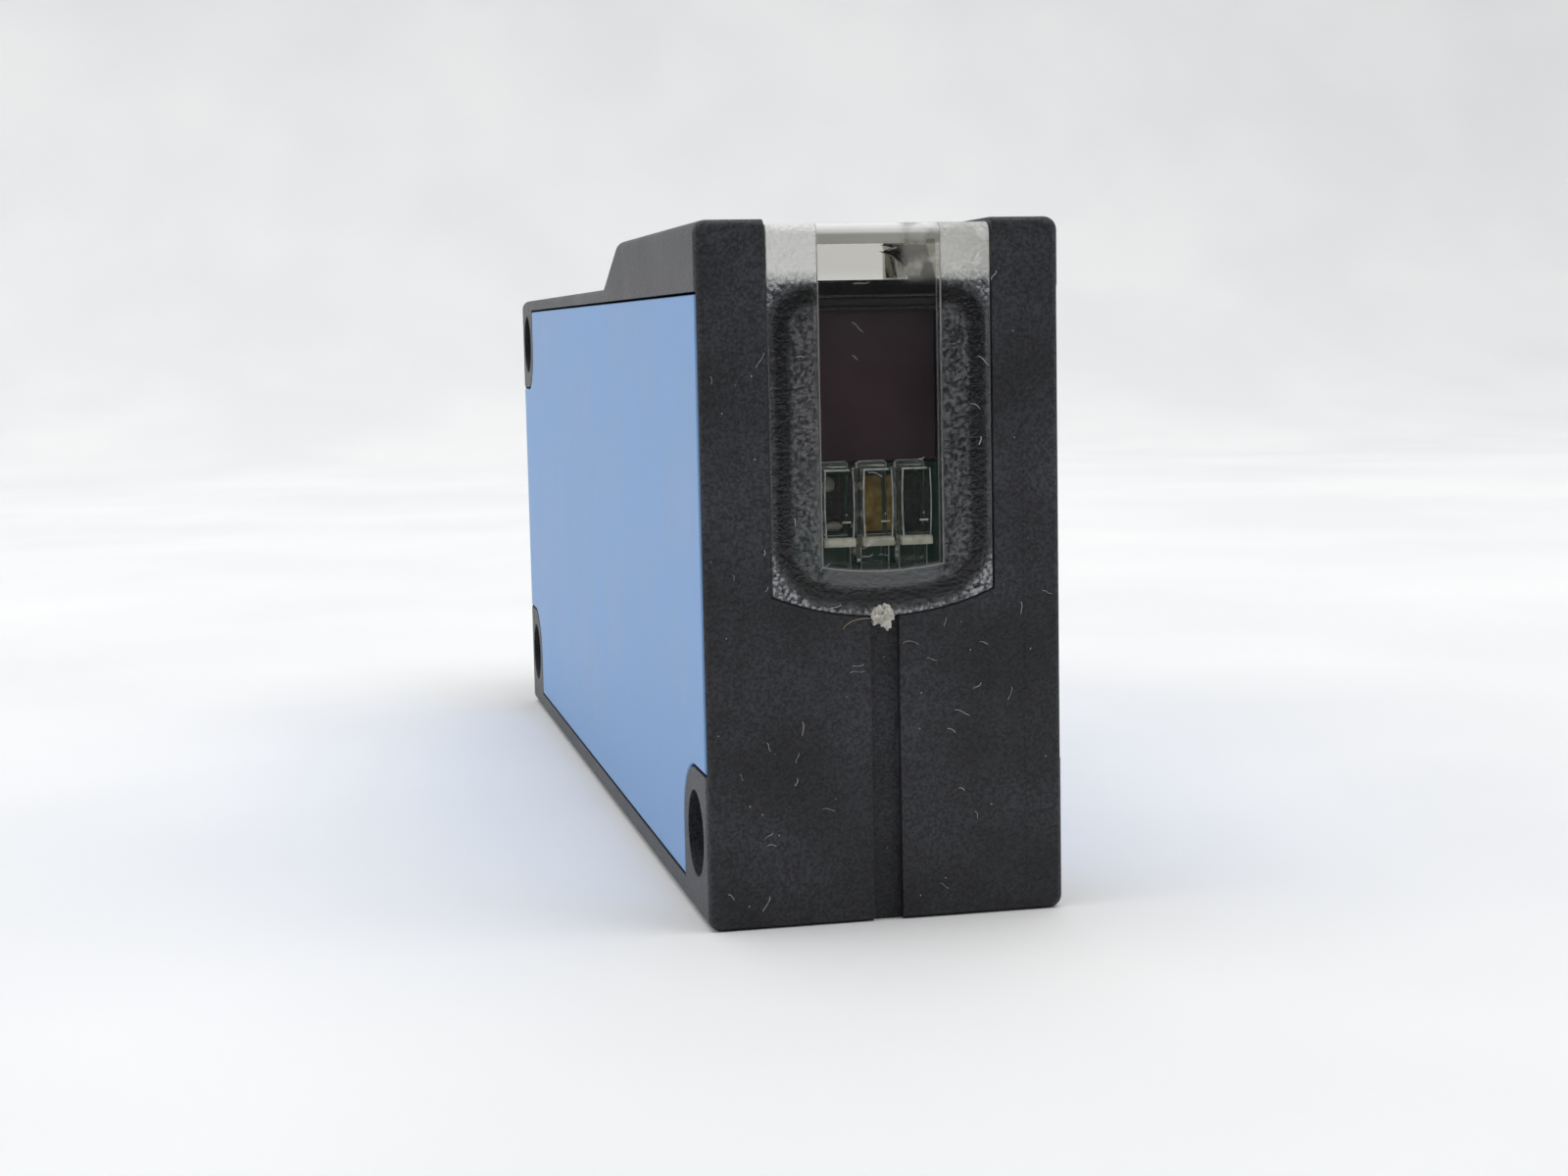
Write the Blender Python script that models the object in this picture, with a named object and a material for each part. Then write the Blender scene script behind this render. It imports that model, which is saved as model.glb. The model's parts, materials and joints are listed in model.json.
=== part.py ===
"""Slim photoelectric sensor with a plug-in connector, as an assembly of separate pieces.

Frame: origin at the centre of the rear face, +Z towards the optical face, -Y towards the window end,
+Y towards the connector, +X across the narrow width.
"""

import math

import bmesh
import bpy
from mathutils import Vector

MM = 0.001

# Overall sizes of the housing
WIDTH = 17.6 * MM
LENGTH = 75.5 * MM
BODY_HEIGHT = 31.0 * MM
HEAD_RISE = 2.5 * MM
HEAD_LENGTH = 24.8 * MM
RAMP_LENGTH = 6.3 * MM
EDGE_RADIUS = 0.5 * MM

# Walls
NEAR_WALL = 2.4 * MM
FAR_WALL = 2.6 * MM
COVER_LEDGE = 1.0 * MM

# Mounting holes and their bosses
HOLE_RADIUS = 2.1 * MM
BOSS_RADIUS = 3.35 * MM
HOLE_FROM_END = 3.2 * MM
HOLE_LOW = 4.2 * MM
HOLE_RISE = 23.5 * MM

# Side covers
COVER_THICKNESS = 1.0 * MM
COVER_BELOW = 1.45 * MM
COVER_ABOVE = 0.9 * MM
COVER_FROM_END = 0.3 * MM
SEAM = 0.12 * MM
COVER_EDGE = 0.12 * MM

# Window
WINDOW_WIDTH = 10.8 * MM
WINDOW_LEG = 1.0 * MM
WINDOW_ROOF = 0.9 * MM
WINDOW_PRISM = 1.8 * MM
WINDOW_BELOW_JAMBS = 0.2 * MM
WINDOW_DROP = 18.5 * MM
WINDOW_SAG = 1.1 * MM
WINDOW_RAMP_LEFT = 1.1 * MM
WINDOW_TIP = 1.1 * MM
WINDOW_BEHIND_FACE = 0.05 * MM
WINDOW_KNEE = 0.3 * MM
WINDOW_FIT = 0.08 * MM
COMPARTMENT_LEDGE = 3.8 * MM
APERTURE_LEDGE = 1.0 * MM
APERTURE_TOP = 1.73 * MM
APERTURE_CORNER = 1.6 * MM
APERTURE_FOOT = 1.0 * MM
APERTURE_BOTTOM = 1.3 * MM
APERTURE_SAG = 0.5 * MM
BRIDGE_HEIGHT = 0.68 * MM
SEAL_WIDTH = 0.35 * MM
SEAL_DEPTH = 0.45 * MM
SEAL_FROM_APERTURE = 0.15 * MM
SEAL_FIT = 0.05 * MM

# Parting groove on the window end
GROOVE_WIDTH = 1.4 * MM
GROOVE_DEPTH = 0.45 * MM

# Optics
CARRIER_WIDTH = 6.9 * MM
CARRIER_WALL = 0.8 * MM
CARRIER_BOTTOM = 21.96 * MM
CARRIER_UNDER_WINDOW = 2.7 * MM
CARRIER_FROM_WALL = 0.7 * MM
RECEIVER_CHAMBER = 10.5 * MM
SENDER_CHAMBER = 7.8 * MM
CHAMBER_PARTITION = 1.4 * MM
LENS_EDGE = 1.2 * MM
LENS_DOME = 0.8 * MM
CLEARANCE = 0.1 * MM

# Light guide and indicator lights
GUIDE_WIDTH = 1.5 * MM
GUIDE_PITCH = 1.9 * MM
GUIDE_DEPTH = 2.2 * MM
GUIDE_TOP = 21.7 * MM
GUIDE_FOOT = 1.4 * MM
GUIDE_JOINT = 0.4 * MM
LED_WIDTH = 1.36 * MM
LED_HEIGHT = 2.7 * MM
LED_DEPTH = 0.6 * MM
LED_RAISED = 0.75 * MM

# Circuit boards
BOARD = 0.8 * MM
BOARD_GAP = 0.3 * MM
BOARD_SPARE = 0.6 * MM
LINK_LENGTH = 2.4 * MM
LINK_HALF_HEIGHT = 2.5 * MM
CAPACITOR_RADIUS = 2.5 * MM
CAPACITOR_LENGTH = 5.4 * MM

# Sensitivity adjuster and light/dark selector, turned from the rear face
ADJUSTER_FROM_END = 13.0 * MM
ADJUSTER_PITCH = 10.0 * MM
ROTOR_HEAD_RADIUS = 2.5 * MM
ROTOR_HEAD = 1.1 * MM
ROTOR_RECESS = 0.5 * MM
ROTOR_STEM_RADIUS = 1.5 * MM
ROTOR_STEM = 2.9 * MM
ROTOR_SLOT = 0.6 * MM
ROTOR_SLOT_DEPTH = 0.7 * MM
ROTOR_FIT = 0.2 * MM
ADJUSTER_BODY = 7.0 * MM
ADJUSTER_BODY_HEIGHT = 5.4 * MM

# M12 connector
CONNECTOR_LENGTH = 12.0 * MM
THREAD_RADIUS = 6.0 * MM
SLEEVE_BORE = 4.6 * MM
FLANGE_RADIUS = 7.0 * MM
FLANGE = 1.6 * MM
SHANK_RADIUS = 5.6 * MM
NUT = 2.4 * MM
NUT_FROM_COVER = 0.4 * MM
NUT_NOTCH = 1.2 * MM
NOTCH_FLOOR_SHARE = 0.55
THREAD_CHAMFER = 0.4 * MM
FLANGE_SEAL = 0.5 * MM
SHANK_PAST_NUT = 0.6 * MM
INSERT_DEPTH = 8.0 * MM
INSERT_PAST_WALL = 3.4 * MM
PIN_RADIUS = 0.5 * MM
PIN_CIRCLE = 2.55 * MM
PIN_LENGTH = 7.2 * MM
PIN_TAIL = 0.2 * MM
PIN_TAPER = 0.35 * MM

# How far a cutter runs past the face that it cuts
OVER = 1.0 * MM

# Derived places
HEAD_TOP = BODY_HEIGHT + HEAD_RISE
NEAR = -LENGTH / 2
FAR = LENGTH / 2
SIDE = WIDTH / 2
HOLE_HIGH = HOLE_LOW + HOLE_RISE
COVER_TOP = BODY_HEIGHT - COVER_ABOVE
CAVITY_FLOOR = COVER_BELOW + COVER_LEDGE
CAVITY_ROOF = COVER_TOP - COVER_LEDGE
RAMP_SLOPE = HEAD_RISE / RAMP_LENGTH
WINDOW_TOP = HEAD_TOP - WINDOW_BELOW_JAMBS
WINDOW_CORNER = WINDOW_TOP - WINDOW_DROP + WINDOW_SAG
WINDOW_HALF = WINDOW_WIDTH / 2
WINDOW_FACE = NEAR + WINDOW_BEHIND_FACE
WINDOW_BACK = WINDOW_FACE + WINDOW_LEG
WINDOW_UNDER = WINDOW_TOP - WINDOW_ROOF
WINDOW_FAR = NEAR + HEAD_LENGTH + RAMP_LENGTH - WINDOW_RAMP_LEFT
WINDOW_FAR_TOP = WINDOW_TOP - (WINDOW_FAR - NEAR - HEAD_LENGTH) * RAMP_SLOPE
SEAT = WINDOW_BACK + WINDOW_FIT
APERTURE_HALF = WINDOW_HALF - APERTURE_LEDGE
APERTURE_HIGH = BODY_HEIGHT - APERTURE_TOP
APERTURE_LOW = WINDOW_CORNER - WINDOW_SAG + APERTURE_BOTTOM
BRIDGE_TOP = APERTURE_HIGH + BRIDGE_HEIGHT
COMPARTMENT_FAR = WINDOW_FAR - COMPARTMENT_LEDGE
CARRIER_NEAR = NEAR + NEAR_WALL + CARRIER_FROM_WALL
CARRIER_TOP = WINDOW_UNDER - CARRIER_UNDER_WINDOW
CARRIER_FAR = (
    CARRIER_NEAR + 2 * CARRIER_WALL + RECEIVER_CHAMBER + CHAMBER_PARTITION + SENDER_CHAMBER
)
RECEIVER_Y = CARRIER_NEAR + CARRIER_WALL + RECEIVER_CHAMBER / 2
SENDER_Y = CARRIER_FAR - CARRIER_WALL - SENDER_CHAMBER / 2
CHAMBER_HALF = CARRIER_WIDTH / 2 - CARRIER_WALL
GUIDE_BACK = SEAT + CLEARANCE + GUIDE_DEPTH
LED_FRONT = GUIDE_BACK + BOARD_GAP
DISPLAY_BOARD_FRONT = LED_FRONT + LED_DEPTH + CLEARANCE
OPTICS_BOARD_TOP = CARRIER_BOTTOM - BOARD_GAP
SENSITIVITY_Y = NEAR + ADJUSTER_FROM_END
SELECTOR_Y = SENSITIVITY_Y + ADJUSTER_PITCH
ADJUSTER_BODY_TOP = CAVITY_FLOOR + CLEARANCE + ADJUSTER_BODY_HEIGHT
CONTROL_BOARD_TOP = ADJUSTER_BODY_TOP + CLEARANCE + BOARD
CONNECTOR_Z = (HOLE_LOW + HOLE_HIGH) / 2
NUT_RADIUS = SIDE - COVER_THICKNESS - NUT_FROM_COVER
NUT_BORE = SHANK_RADIUS + CLEARANCE
MAIN_BOARD_SIDE = CARRIER_WIDTH / 2 + CAPACITOR_LENGTH / 4
MAIN_BOARD_LOW = CONTROL_BOARD_TOP + BOARD_GAP
MAIN_BOARD_HIGH = OPTICS_BOARD_TOP - BOARD - BOARD_GAP
MAIN_BOARD_NEAR = DISPLAY_BOARD_FRONT + BOARD + LINK_LENGTH
INSERT_BACK = FAR - FAR_WALL - INSERT_PAST_WALL
CONNECTOR_BOARD_FAR = INSERT_BACK - BOARD_GAP
MAIN_BOARD_FAR = CONNECTOR_BOARD_FAR - BOARD - BOARD_GAP


def clear_scene():
    """Removes everything that the new scene holds."""
    for old in list(bpy.data.objects):
        bpy.data.objects.remove(old)


def finish_material(name, colour, roughness, metallic=0.0, transmission=0.0):
    """A Principled material in one plain finish."""
    material = bpy.data.materials.new(name)
    material.use_nodes = True
    shader = material.node_tree.nodes["Principled BSDF"]
    shader.inputs["Base Color"].default_value = (*colour, 1.0)
    shader.inputs["Roughness"].default_value = roughness
    shader.inputs["Metallic"].default_value = metallic
    shader.inputs["Transmission Weight"].default_value = transmission
    return material


def add_object(name, bm, material):
    """A scene object from a finished bmesh, with its faces pointing out."""
    bmesh.ops.recalc_face_normals(bm, faces=bm.faces)
    mesh = bpy.data.meshes.new(name)
    bm.to_mesh(mesh)
    bm.free()
    obj = bpy.data.objects.new(name, mesh)
    bpy.context.scene.collection.objects.link(obj)
    if material is not None:
        obj.data.materials.append(material)
    return obj


def on_axis(axis, first, second, along):
    """A point from its place along an axis and its two other coordinates, in X, Y, Z order."""
    if axis == "X":
        return Vector((along, first, second))
    if axis == "Y":
        return Vector((first, along, second))
    return Vector((first, second, along))


def prism(name, outline, axis, start, end, material=None):
    """A closed outline extruded along an axis."""
    bm = bmesh.new()
    low = [bm.verts.new(on_axis(axis, a, b, start)) for a, b in outline]
    high = [bm.verts.new(on_axis(axis, a, b, end)) for a, b in outline]
    bm.faces.new(low)
    bm.faces.new(high)
    for i in range(len(outline)):
        j = (i + 1) % len(outline)
        bm.faces.new((low[i], low[j], high[j], high[i]))
    return add_object(name, bm, material)


def block(name, low, high, material=None):
    """A box between two corners."""
    outline = [(low[0], low[1]), (high[0], low[1]), (high[0], high[1]), (low[0], high[1])]
    return prism(name, outline, "Z", low[2], high[2], material)


def turned(name, profile, axis, centre, material=None, sides=32, closed=False):
    """A profile of (radius, place along the axis) turned round an axis through centre.

    A closed profile makes a ring. An open one starts and ends on the axis.
    """
    bm = bmesh.new()
    rings = []
    for radius, along in profile:
        if radius == 0.0:
            rings.append([bm.verts.new(on_axis(axis, centre[0], centre[1], along))])
            continue
        ring = []
        for step in range(sides):
            angle = 2 * math.pi * step / sides
            first = centre[0] + radius * math.cos(angle)
            second = centre[1] + radius * math.sin(angle)
            ring.append(bm.verts.new(on_axis(axis, first, second, along)))
        rings.append(ring)
    pairs = list(zip(rings, rings[1:]))
    if closed:
        pairs.append((rings[-1], rings[0]))
    for near, far in pairs:
        for i in range(sides):
            j = (i + 1) % sides
            corners = [near[i % len(near)], near[j % len(near)], far[j % len(far)], far[i % len(far)]]
            bm.faces.new(list(dict.fromkeys(corners)))
    obj = add_object(name, bm, material)
    shade_round(obj)
    return obj


def disc(name, radius, axis, centre, start, end, material=None, sides=32):
    """A plain round bar."""
    profile = [(0.0, start), (radius, start), (radius, end), (0.0, end)]
    return turned(name, profile, axis, centre, material, sides)


def shade_round(obj):
    obj.data.shade_smooth()
    obj.data.set_sharp_from_angle(angle=math.radians(35))


def as_guide(obj):
    """A cutter or a joined shape, which isn't a piece itself."""
    obj.hide_render = True
    obj.display_type = "WIRE"


def combine(obj, operation, others):
    """Cuts the others from obj, or joins them to it."""
    for other in others:
        modifier = obj.modifiers.new(other.name, "BOOLEAN")
        modifier.operation = operation
        modifier.solver = "EXACT"
        modifier.object = other
        as_guide(other)


def cut(obj, *cutters):
    combine(obj, "DIFFERENCE", cutters)


def join(obj, *shapes):
    combine(obj, "UNION", shapes)


def round_edges(obj, width, segments=2, angle=30):
    modifier = obj.modifiers.new("edges", "BEVEL")
    modifier.width = width
    modifier.segments = segments
    modifier.limit_method = "ANGLE"
    modifier.angle_limit = math.radians(angle)


def arc(centre, radius, start, end, steps=8):
    """Points of an arc, from one angle to the other in degrees."""
    points = []
    for step in range(steps + 1):
        angle = math.radians(start + (end - start) * step / steps)
        points.append((centre[0] + radius * math.cos(angle), centre[1] + radius * math.sin(angle)))
    return points


def sagging_line(half, corner_height, sag, steps=8):
    """A line from -half to +half that hangs by sag in its middle, as an arc of a circle."""
    radius = (half * half + sag * sag) / (2 * sag)
    span = math.degrees(math.asin(half / radius))
    centre = (0.0, corner_height - sag + radius)
    return arc(centre, radius, 270 - span, 270 + span, steps)


def side_outline(grow, near_wall=COVER_FROM_END, far_wall=COVER_FROM_END):
    """Outline of a side cover, notched round the three hole bosses, and grown by a margin."""
    boss = BOSS_RADIUS - grow
    near = NEAR + near_wall - grow
    far = FAR - far_wall + grow
    low = COVER_BELOW - grow
    high = COVER_TOP + grow
    near_hole = NEAR + HOLE_FROM_END
    far_hole = FAR - HOLE_FROM_END
    outline = [(near, HOLE_LOW + boss)]
    outline += arc((near_hole, HOLE_LOW), boss, 90, 0)
    outline += [(near_hole + boss, low), (far_hole - boss, low)]
    outline += arc((far_hole, HOLE_LOW), boss, 180, 90)
    outline += [(far, HOLE_LOW + boss), (far, HOLE_HIGH - boss)]
    outline += arc((far_hole, HOLE_HIGH), boss, 270, 180)
    outline += [(far_hole - boss, high), (near, high)]
    return outline


def end_outline(grow):
    """Outline of the window on the end face: straight sides and a hanging bottom edge, open upwards."""
    half = WINDOW_HALF + grow
    bottom = sagging_line(half, WINDOW_CORNER - grow, WINDOW_SAG)
    return bottom + [(half, WINDOW_TOP + grow), (-half, WINDOW_TOP + grow)]


def aperture_outline(grow):
    """Outline of the opening behind the end leg, with rounded corners, grown by a margin."""
    half = APERTURE_HALF + grow
    corner = APERTURE_CORNER + grow
    high = APERTURE_HIGH + grow
    foot = APERTURE_FOOT + grow
    bottom = sagging_line(half - foot, APERTURE_LOW + APERTURE_SAG - grow, APERTURE_SAG)
    outline = bottom
    outline += arc((half - foot, bottom[-1][1] + foot), foot, 270, 360, 4)[1:]
    outline += arc((half - corner, high - corner), corner, 0, 90, 5)
    outline += arc((corner - half, high - corner), corner, 90, 180, 5)
    outline += arc((foot - half, bottom[0][1] + foot), foot, 180, 270, 4)[:-1]
    return outline


def window_profile(grow, top):
    """Side profile of the window's roof and ramp, from the end leg to the ramp's tip."""
    knee = NEAR + HEAD_LENGTH - WINDOW_KNEE
    return [
        (WINDOW_FACE, WINDOW_UNDER - grow),
        (knee, WINDOW_UNDER - grow),
        (WINDOW_FAR + grow, WINDOW_FAR_TOP - WINDOW_TIP - grow),
        (WINDOW_FAR + grow, WINDOW_FAR_TOP + top),
        (NEAR + HEAD_LENGTH, WINDOW_TOP + top),
        (WINDOW_FACE, WINDOW_TOP + top),
    ]


def prism_profile(grow):
    """Side profile of the slope between the window's leg and roof, which turns light upwards."""
    low = WINDOW_UNDER - WINDOW_PRISM - grow
    return [
        (WINDOW_BACK - CLEARANCE, low),
        (WINDOW_BACK + grow, low),
        (WINDOW_BACK + grow + WINDOW_PRISM, WINDOW_UNDER - grow),
        (WINDOW_BACK + grow + WINDOW_PRISM, WINDOW_UNDER + CLEARANCE),
        (WINDOW_BACK - CLEARANCE, WINDOW_UNDER + CLEARANCE),
    ]


def make_housing(material):
    """Black frame, open on both sides, with bosses, window seat, openings and holes."""
    outline = [
        (NEAR, 0.0),
        (FAR, 0.0),
        (FAR, BODY_HEIGHT),
        (NEAR + HEAD_LENGTH + RAMP_LENGTH, BODY_HEIGHT),
        (NEAR + HEAD_LENGTH, HEAD_TOP),
        (NEAR, HEAD_TOP),
    ]
    housing = prism("housing", outline, "X", -SIDE, SIDE, material)
    round_edges(housing, EDGE_RADIUS, angle=15)

    recess = side_outline(SEAM)
    depth = COVER_THICKNESS + CLEARANCE
    cut(housing, prism("recess_left", recess, "X", -SIDE - OVER, -SIDE + depth))
    cut(housing, prism("recess_right", recess, "X", SIDE - depth, SIDE + OVER))
    cavity = side_outline(-COVER_LEDGE, NEAR_WALL - COVER_LEDGE, FAR_WALL - COVER_LEDGE)
    cut(housing, prism("cavity", cavity, "X", -SIDE - OVER, SIDE + OVER))

    near_hole = NEAR + HOLE_FROM_END
    far_hole = FAR - HOLE_FROM_END
    for y, z in ((near_hole, HOLE_LOW), (far_hole, HOLE_LOW), (far_hole, HOLE_HIGH)):
        cut(housing, disc("hole", HOLE_RADIUS, "X", (y, z), -SIDE - OVER, SIDE + OVER))

    seat_half = WINDOW_HALF + WINDOW_FIT
    seat = window_profile(WINDOW_FIT, OVER)
    seat[0] = (NEAR - OVER, seat[0][1])
    seat[-1] = (NEAR - OVER, seat[-1][1])
    cut(housing, prism("window_seat", seat, "X", -seat_half, seat_half))
    cut(housing, prism("end_seat", end_outline(WINDOW_FIT), "Y", NEAR - OVER, SEAT))
    cut(housing, prism("prism_seat", prism_profile(WINDOW_FIT), "X", -seat_half, seat_half))
    aperture = aperture_outline(0.0)
    cut(housing, prism("end_aperture", aperture, "Y", SEAT - OVER / 2, NEAR + NEAR_WALL + OVER))
    cut(
        housing,
        block(
            "top_aperture",
            (-APERTURE_HALF, SEAT - OVER / 2, BRIDGE_TOP),
            (APERTURE_HALF, COMPARTMENT_FAR, WINDOW_UNDER + OVER / 3),
        ),
        block(
            "lens_aperture",
            (-APERTURE_HALF, NEAR + NEAR_WALL, CAVITY_ROOF - OVER),
            (APERTURE_HALF, COMPARTMENT_FAR, BRIDGE_TOP + OVER / 3),
        ),
    )

    outer = aperture_outline(SEAL_FROM_APERTURE + SEAL_WIDTH + SEAL_FIT)
    inner = aperture_outline(SEAL_FROM_APERTURE - SEAL_FIT)
    cut(housing, ring_prism("seal_groove", outer, inner, "Y", SEAT - OVER / 2, SEAT + SEAL_DEPTH))

    groove_low = (-GROOVE_WIDTH / 2, NEAR - OVER, -OVER)
    groove_high = (GROOVE_WIDTH / 2, NEAR + GROOVE_DEPTH, WINDOW_CORNER - WINDOW_SAG)
    cut(housing, block("parting_groove", groove_low, groove_high))

    port_radius = SHANK_RADIUS + CLEARANCE
    centre = (0.0, CONNECTOR_Z)
    cut(housing, disc("connector_port", port_radius, "Y", centre, FAR - FAR_WALL - OVER, FAR + OVER))
    bore_radius = ROTOR_HEAD_RADIUS + ROTOR_FIT
    for y in (SENSITIVITY_Y, SELECTOR_Y):
        cut(housing, disc("rotor_bore", bore_radius, "Z", (0.0, y), -OVER, CAVITY_FLOOR + OVER))


def ring_prism(name, outer, inner, axis, start, end, material=None):
    """A frame between two outlines that have the same number of points."""
    bm = bmesh.new()
    loops = []
    for outline, place in ((outer, start), (outer, end), (inner, end), (inner, start)):
        loops.append([bm.verts.new(on_axis(axis, a, b, place)) for a, b in outline])
    count = len(outer)
    for k in range(4):
        here, there = loops[k], loops[(k + 1) % 4]
        for i in range(count):
            j = (i + 1) % count
            bm.faces.new((here[i], here[j], there[j], there[i]))
    return add_object(name, bm, material)


def make_covers(material):
    """The two flat covers let into the sides."""
    outline = side_outline(0.0)
    for name, outer, inner in (
        ("left_side_cover", -SIDE, -SIDE + COVER_THICKNESS),
        ("right_side_cover", SIDE, SIDE - COVER_THICKNESS),
    ):
        cover = prism(name, outline, "X", min(outer, inner), max(outer, inner), material)
        round_edges(cover, COVER_EDGE, segments=1, angle=60)


def make_window(clear, rubber):
    """The clear window with its end leg, roof and ramp, and the seal behind its end leg."""
    leg = prism("front_window", end_outline(0.0), "Y", WINDOW_FACE, WINDOW_BACK, clear)
    roof = window_profile(0.0, 0.0)
    join(leg, prism("window_roof", roof, "X", -WINDOW_HALF, WINDOW_HALF))
    join(leg, prism("window_prism", prism_profile(0.0), "X", -WINDOW_HALF, WINDOW_HALF))

    outer = aperture_outline(SEAL_FROM_APERTURE + SEAL_WIDTH)
    inner = aperture_outline(SEAL_FROM_APERTURE)
    ring_prism("window_seal", outer, inner, "Y", SEAT, SEAT + SEAL_DEPTH - SEAL_FIT, rubber)


def make_lens(name, y, half_length, material):
    """A block lens with a domed top, cut from a sphere."""
    half = CHAMBER_HALF - CLEARANCE
    reach = half_length - CLEARANCE
    edge = CARRIER_TOP - LENS_DOME - LENS_EDGE
    lens = block(name, (-half, y - reach, edge), (half, y + reach, CARRIER_TOP), material)
    radius = (reach * reach + LENS_DOME * LENS_DOME) / (2 * LENS_DOME)
    corner = math.hypot(half, reach) + OVER
    span = math.asin(corner / radius)
    profile = [(0.0, edge - OVER), (corner, edge - OVER)]
    steps = 10
    for step in range(steps + 1):
        angle = span * (1 - step / steps)
        height = CARRIER_TOP - radius + radius * math.cos(angle)
        profile.append((radius * math.sin(angle), height))
    ball = turned(name + "_dome", profile, "Z", (0.0, y))
    combine(lens, "INTERSECT", [ball])
    shade_round(lens)


def make_optics(dark, clear, board, chip, amber):
    """Carrier block with two chambers, its two lenses, and the board below it."""
    half = CARRIER_WIDTH / 2
    carrier = block(
        "optics_carrier",
        (-half, CARRIER_NEAR, CARRIER_BOTTOM),
        (half, CARRIER_FAR, CARRIER_TOP),
        dark,
    )
    for y, length in ((RECEIVER_Y, RECEIVER_CHAMBER), (SENDER_Y, SENDER_CHAMBER)):
        low = (-CHAMBER_HALF, y - length / 2, CARRIER_BOTTOM - OVER)
        high = (CHAMBER_HALF, y + length / 2, CARRIER_TOP + OVER)
        cut(carrier, block("chamber", low, high))
    make_lens("receiver_lens", RECEIVER_Y, RECEIVER_CHAMBER / 2, clear)
    make_lens("sender_lens", SENDER_Y, SENDER_CHAMBER / 2, clear)

    board_half = half + BOARD_SPARE
    block(
        "optics_board",
        (-board_half, DISPLAY_BOARD_FRONT + BOARD + BOARD_GAP, OPTICS_BOARD_TOP - BOARD),
        (board_half, CARRIER_FAR + BOARD_SPARE, OPTICS_BOARD_TOP),
        board,
    )
    base = OPTICS_BOARD_TOP + CLEARANCE
    diode_half = 2.0 * MM
    block(
        "receiver_photodiode",
        (-diode_half, RECEIVER_Y - diode_half, base),
        (diode_half, RECEIVER_Y + diode_half, base + 1.0 * MM),
        chip,
    )
    rim = 1.5 * MM
    body = 0.8 * MM
    bulb = 1.2 * MM
    dome = [(0.0, base), (rim, base), (rim, base + body)]
    dome += arc((0.0, base + body), bulb, 0, 72, 4)
    dome.append((0.0, base + body + bulb))
    turned("sender_led", dome, "Z", (0.0, SENDER_Y), amber, sides=16)


def make_indicators(clear, board, leds):
    """Clear comb with three prongs, and the board with three lights behind it."""
    prong_low = APERTURE_LOW + APERTURE_SAG + CLEARANCE
    front = SEAT + CLEARANCE
    foot_high = prong_low + GUIDE_JOINT
    foot_half = GUIDE_PITCH + GUIDE_WIDTH / 2 + GUIDE_JOINT
    foot_front = NEAR + NEAR_WALL + CLEARANCE
    guide = block(
        "light_guide",
        (-foot_half, foot_front, foot_high - GUIDE_FOOT),
        (foot_half, GUIDE_BACK, foot_high),
        clear,
    )
    for place in (-1, 0, 1):
        x = place * GUIDE_PITCH
        low = (x - GUIDE_WIDTH / 2, front, prong_low)
        high = (x + GUIDE_WIDTH / 2, GUIDE_BACK - CLEARANCE / 5, GUIDE_TOP)
        join(guide, block("prong", low, high))

    board_half = CARRIER_WIDTH / 2 + BOARD_SPARE
    back = DISPLAY_BOARD_FRONT + BOARD
    block(
        "display_board",
        (-board_half, DISPLAY_BOARD_FRONT, CONTROL_BOARD_TOP + BOARD_GAP),
        (board_half, back, CARRIER_BOTTOM - BOARD_GAP / 2),
        board,
    )
    led_z = (prong_low + GUIDE_TOP) / 2 + LED_RAISED
    for place, name in ((-1, "left"), (0, "middle"), (1, "right")):
        x = place * GUIDE_PITCH
        low = (x - LED_WIDTH / 2, LED_FRONT, led_z - LED_HEIGHT / 2)
        high = (x + LED_WIDTH / 2, LED_FRONT + LED_DEPTH, led_z + LED_HEIGHT / 2)
        block("indicator_led_" + name, low, high, leds[name])


def make_rotor(name, y, material):
    """Rotor with a screwdriver slot across its head, its origin on its own axis."""
    head_top = ROTOR_RECESS + ROTOR_HEAD
    profile = [
        (0.0, ROTOR_RECESS),
        (ROTOR_HEAD_RADIUS, ROTOR_RECESS),
        (ROTOR_HEAD_RADIUS, head_top),
        (ROTOR_STEM_RADIUS, head_top),
        (ROTOR_STEM_RADIUS, head_top + ROTOR_STEM),
        (0.0, head_top + ROTOR_STEM),
    ]
    rotor = turned(name, profile, "Z", (0.0, 0.0), material)
    reach = ROTOR_HEAD_RADIUS * 0.8
    slot = block(
        name + "_slot",
        (-reach, -ROTOR_SLOT / 2, ROTOR_RECESS - OVER),
        (reach, ROTOR_SLOT / 2, ROTOR_RECESS + ROTOR_SLOT_DEPTH),
    )
    cut(rotor, slot)
    pivot = bpy.data.objects.new(name + "_pivot", None)
    bpy.context.scene.collection.objects.link(pivot)
    pivot.location = (0.0, y, 0.0)
    rotor.parent = pivot
    slot.parent = pivot


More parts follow.
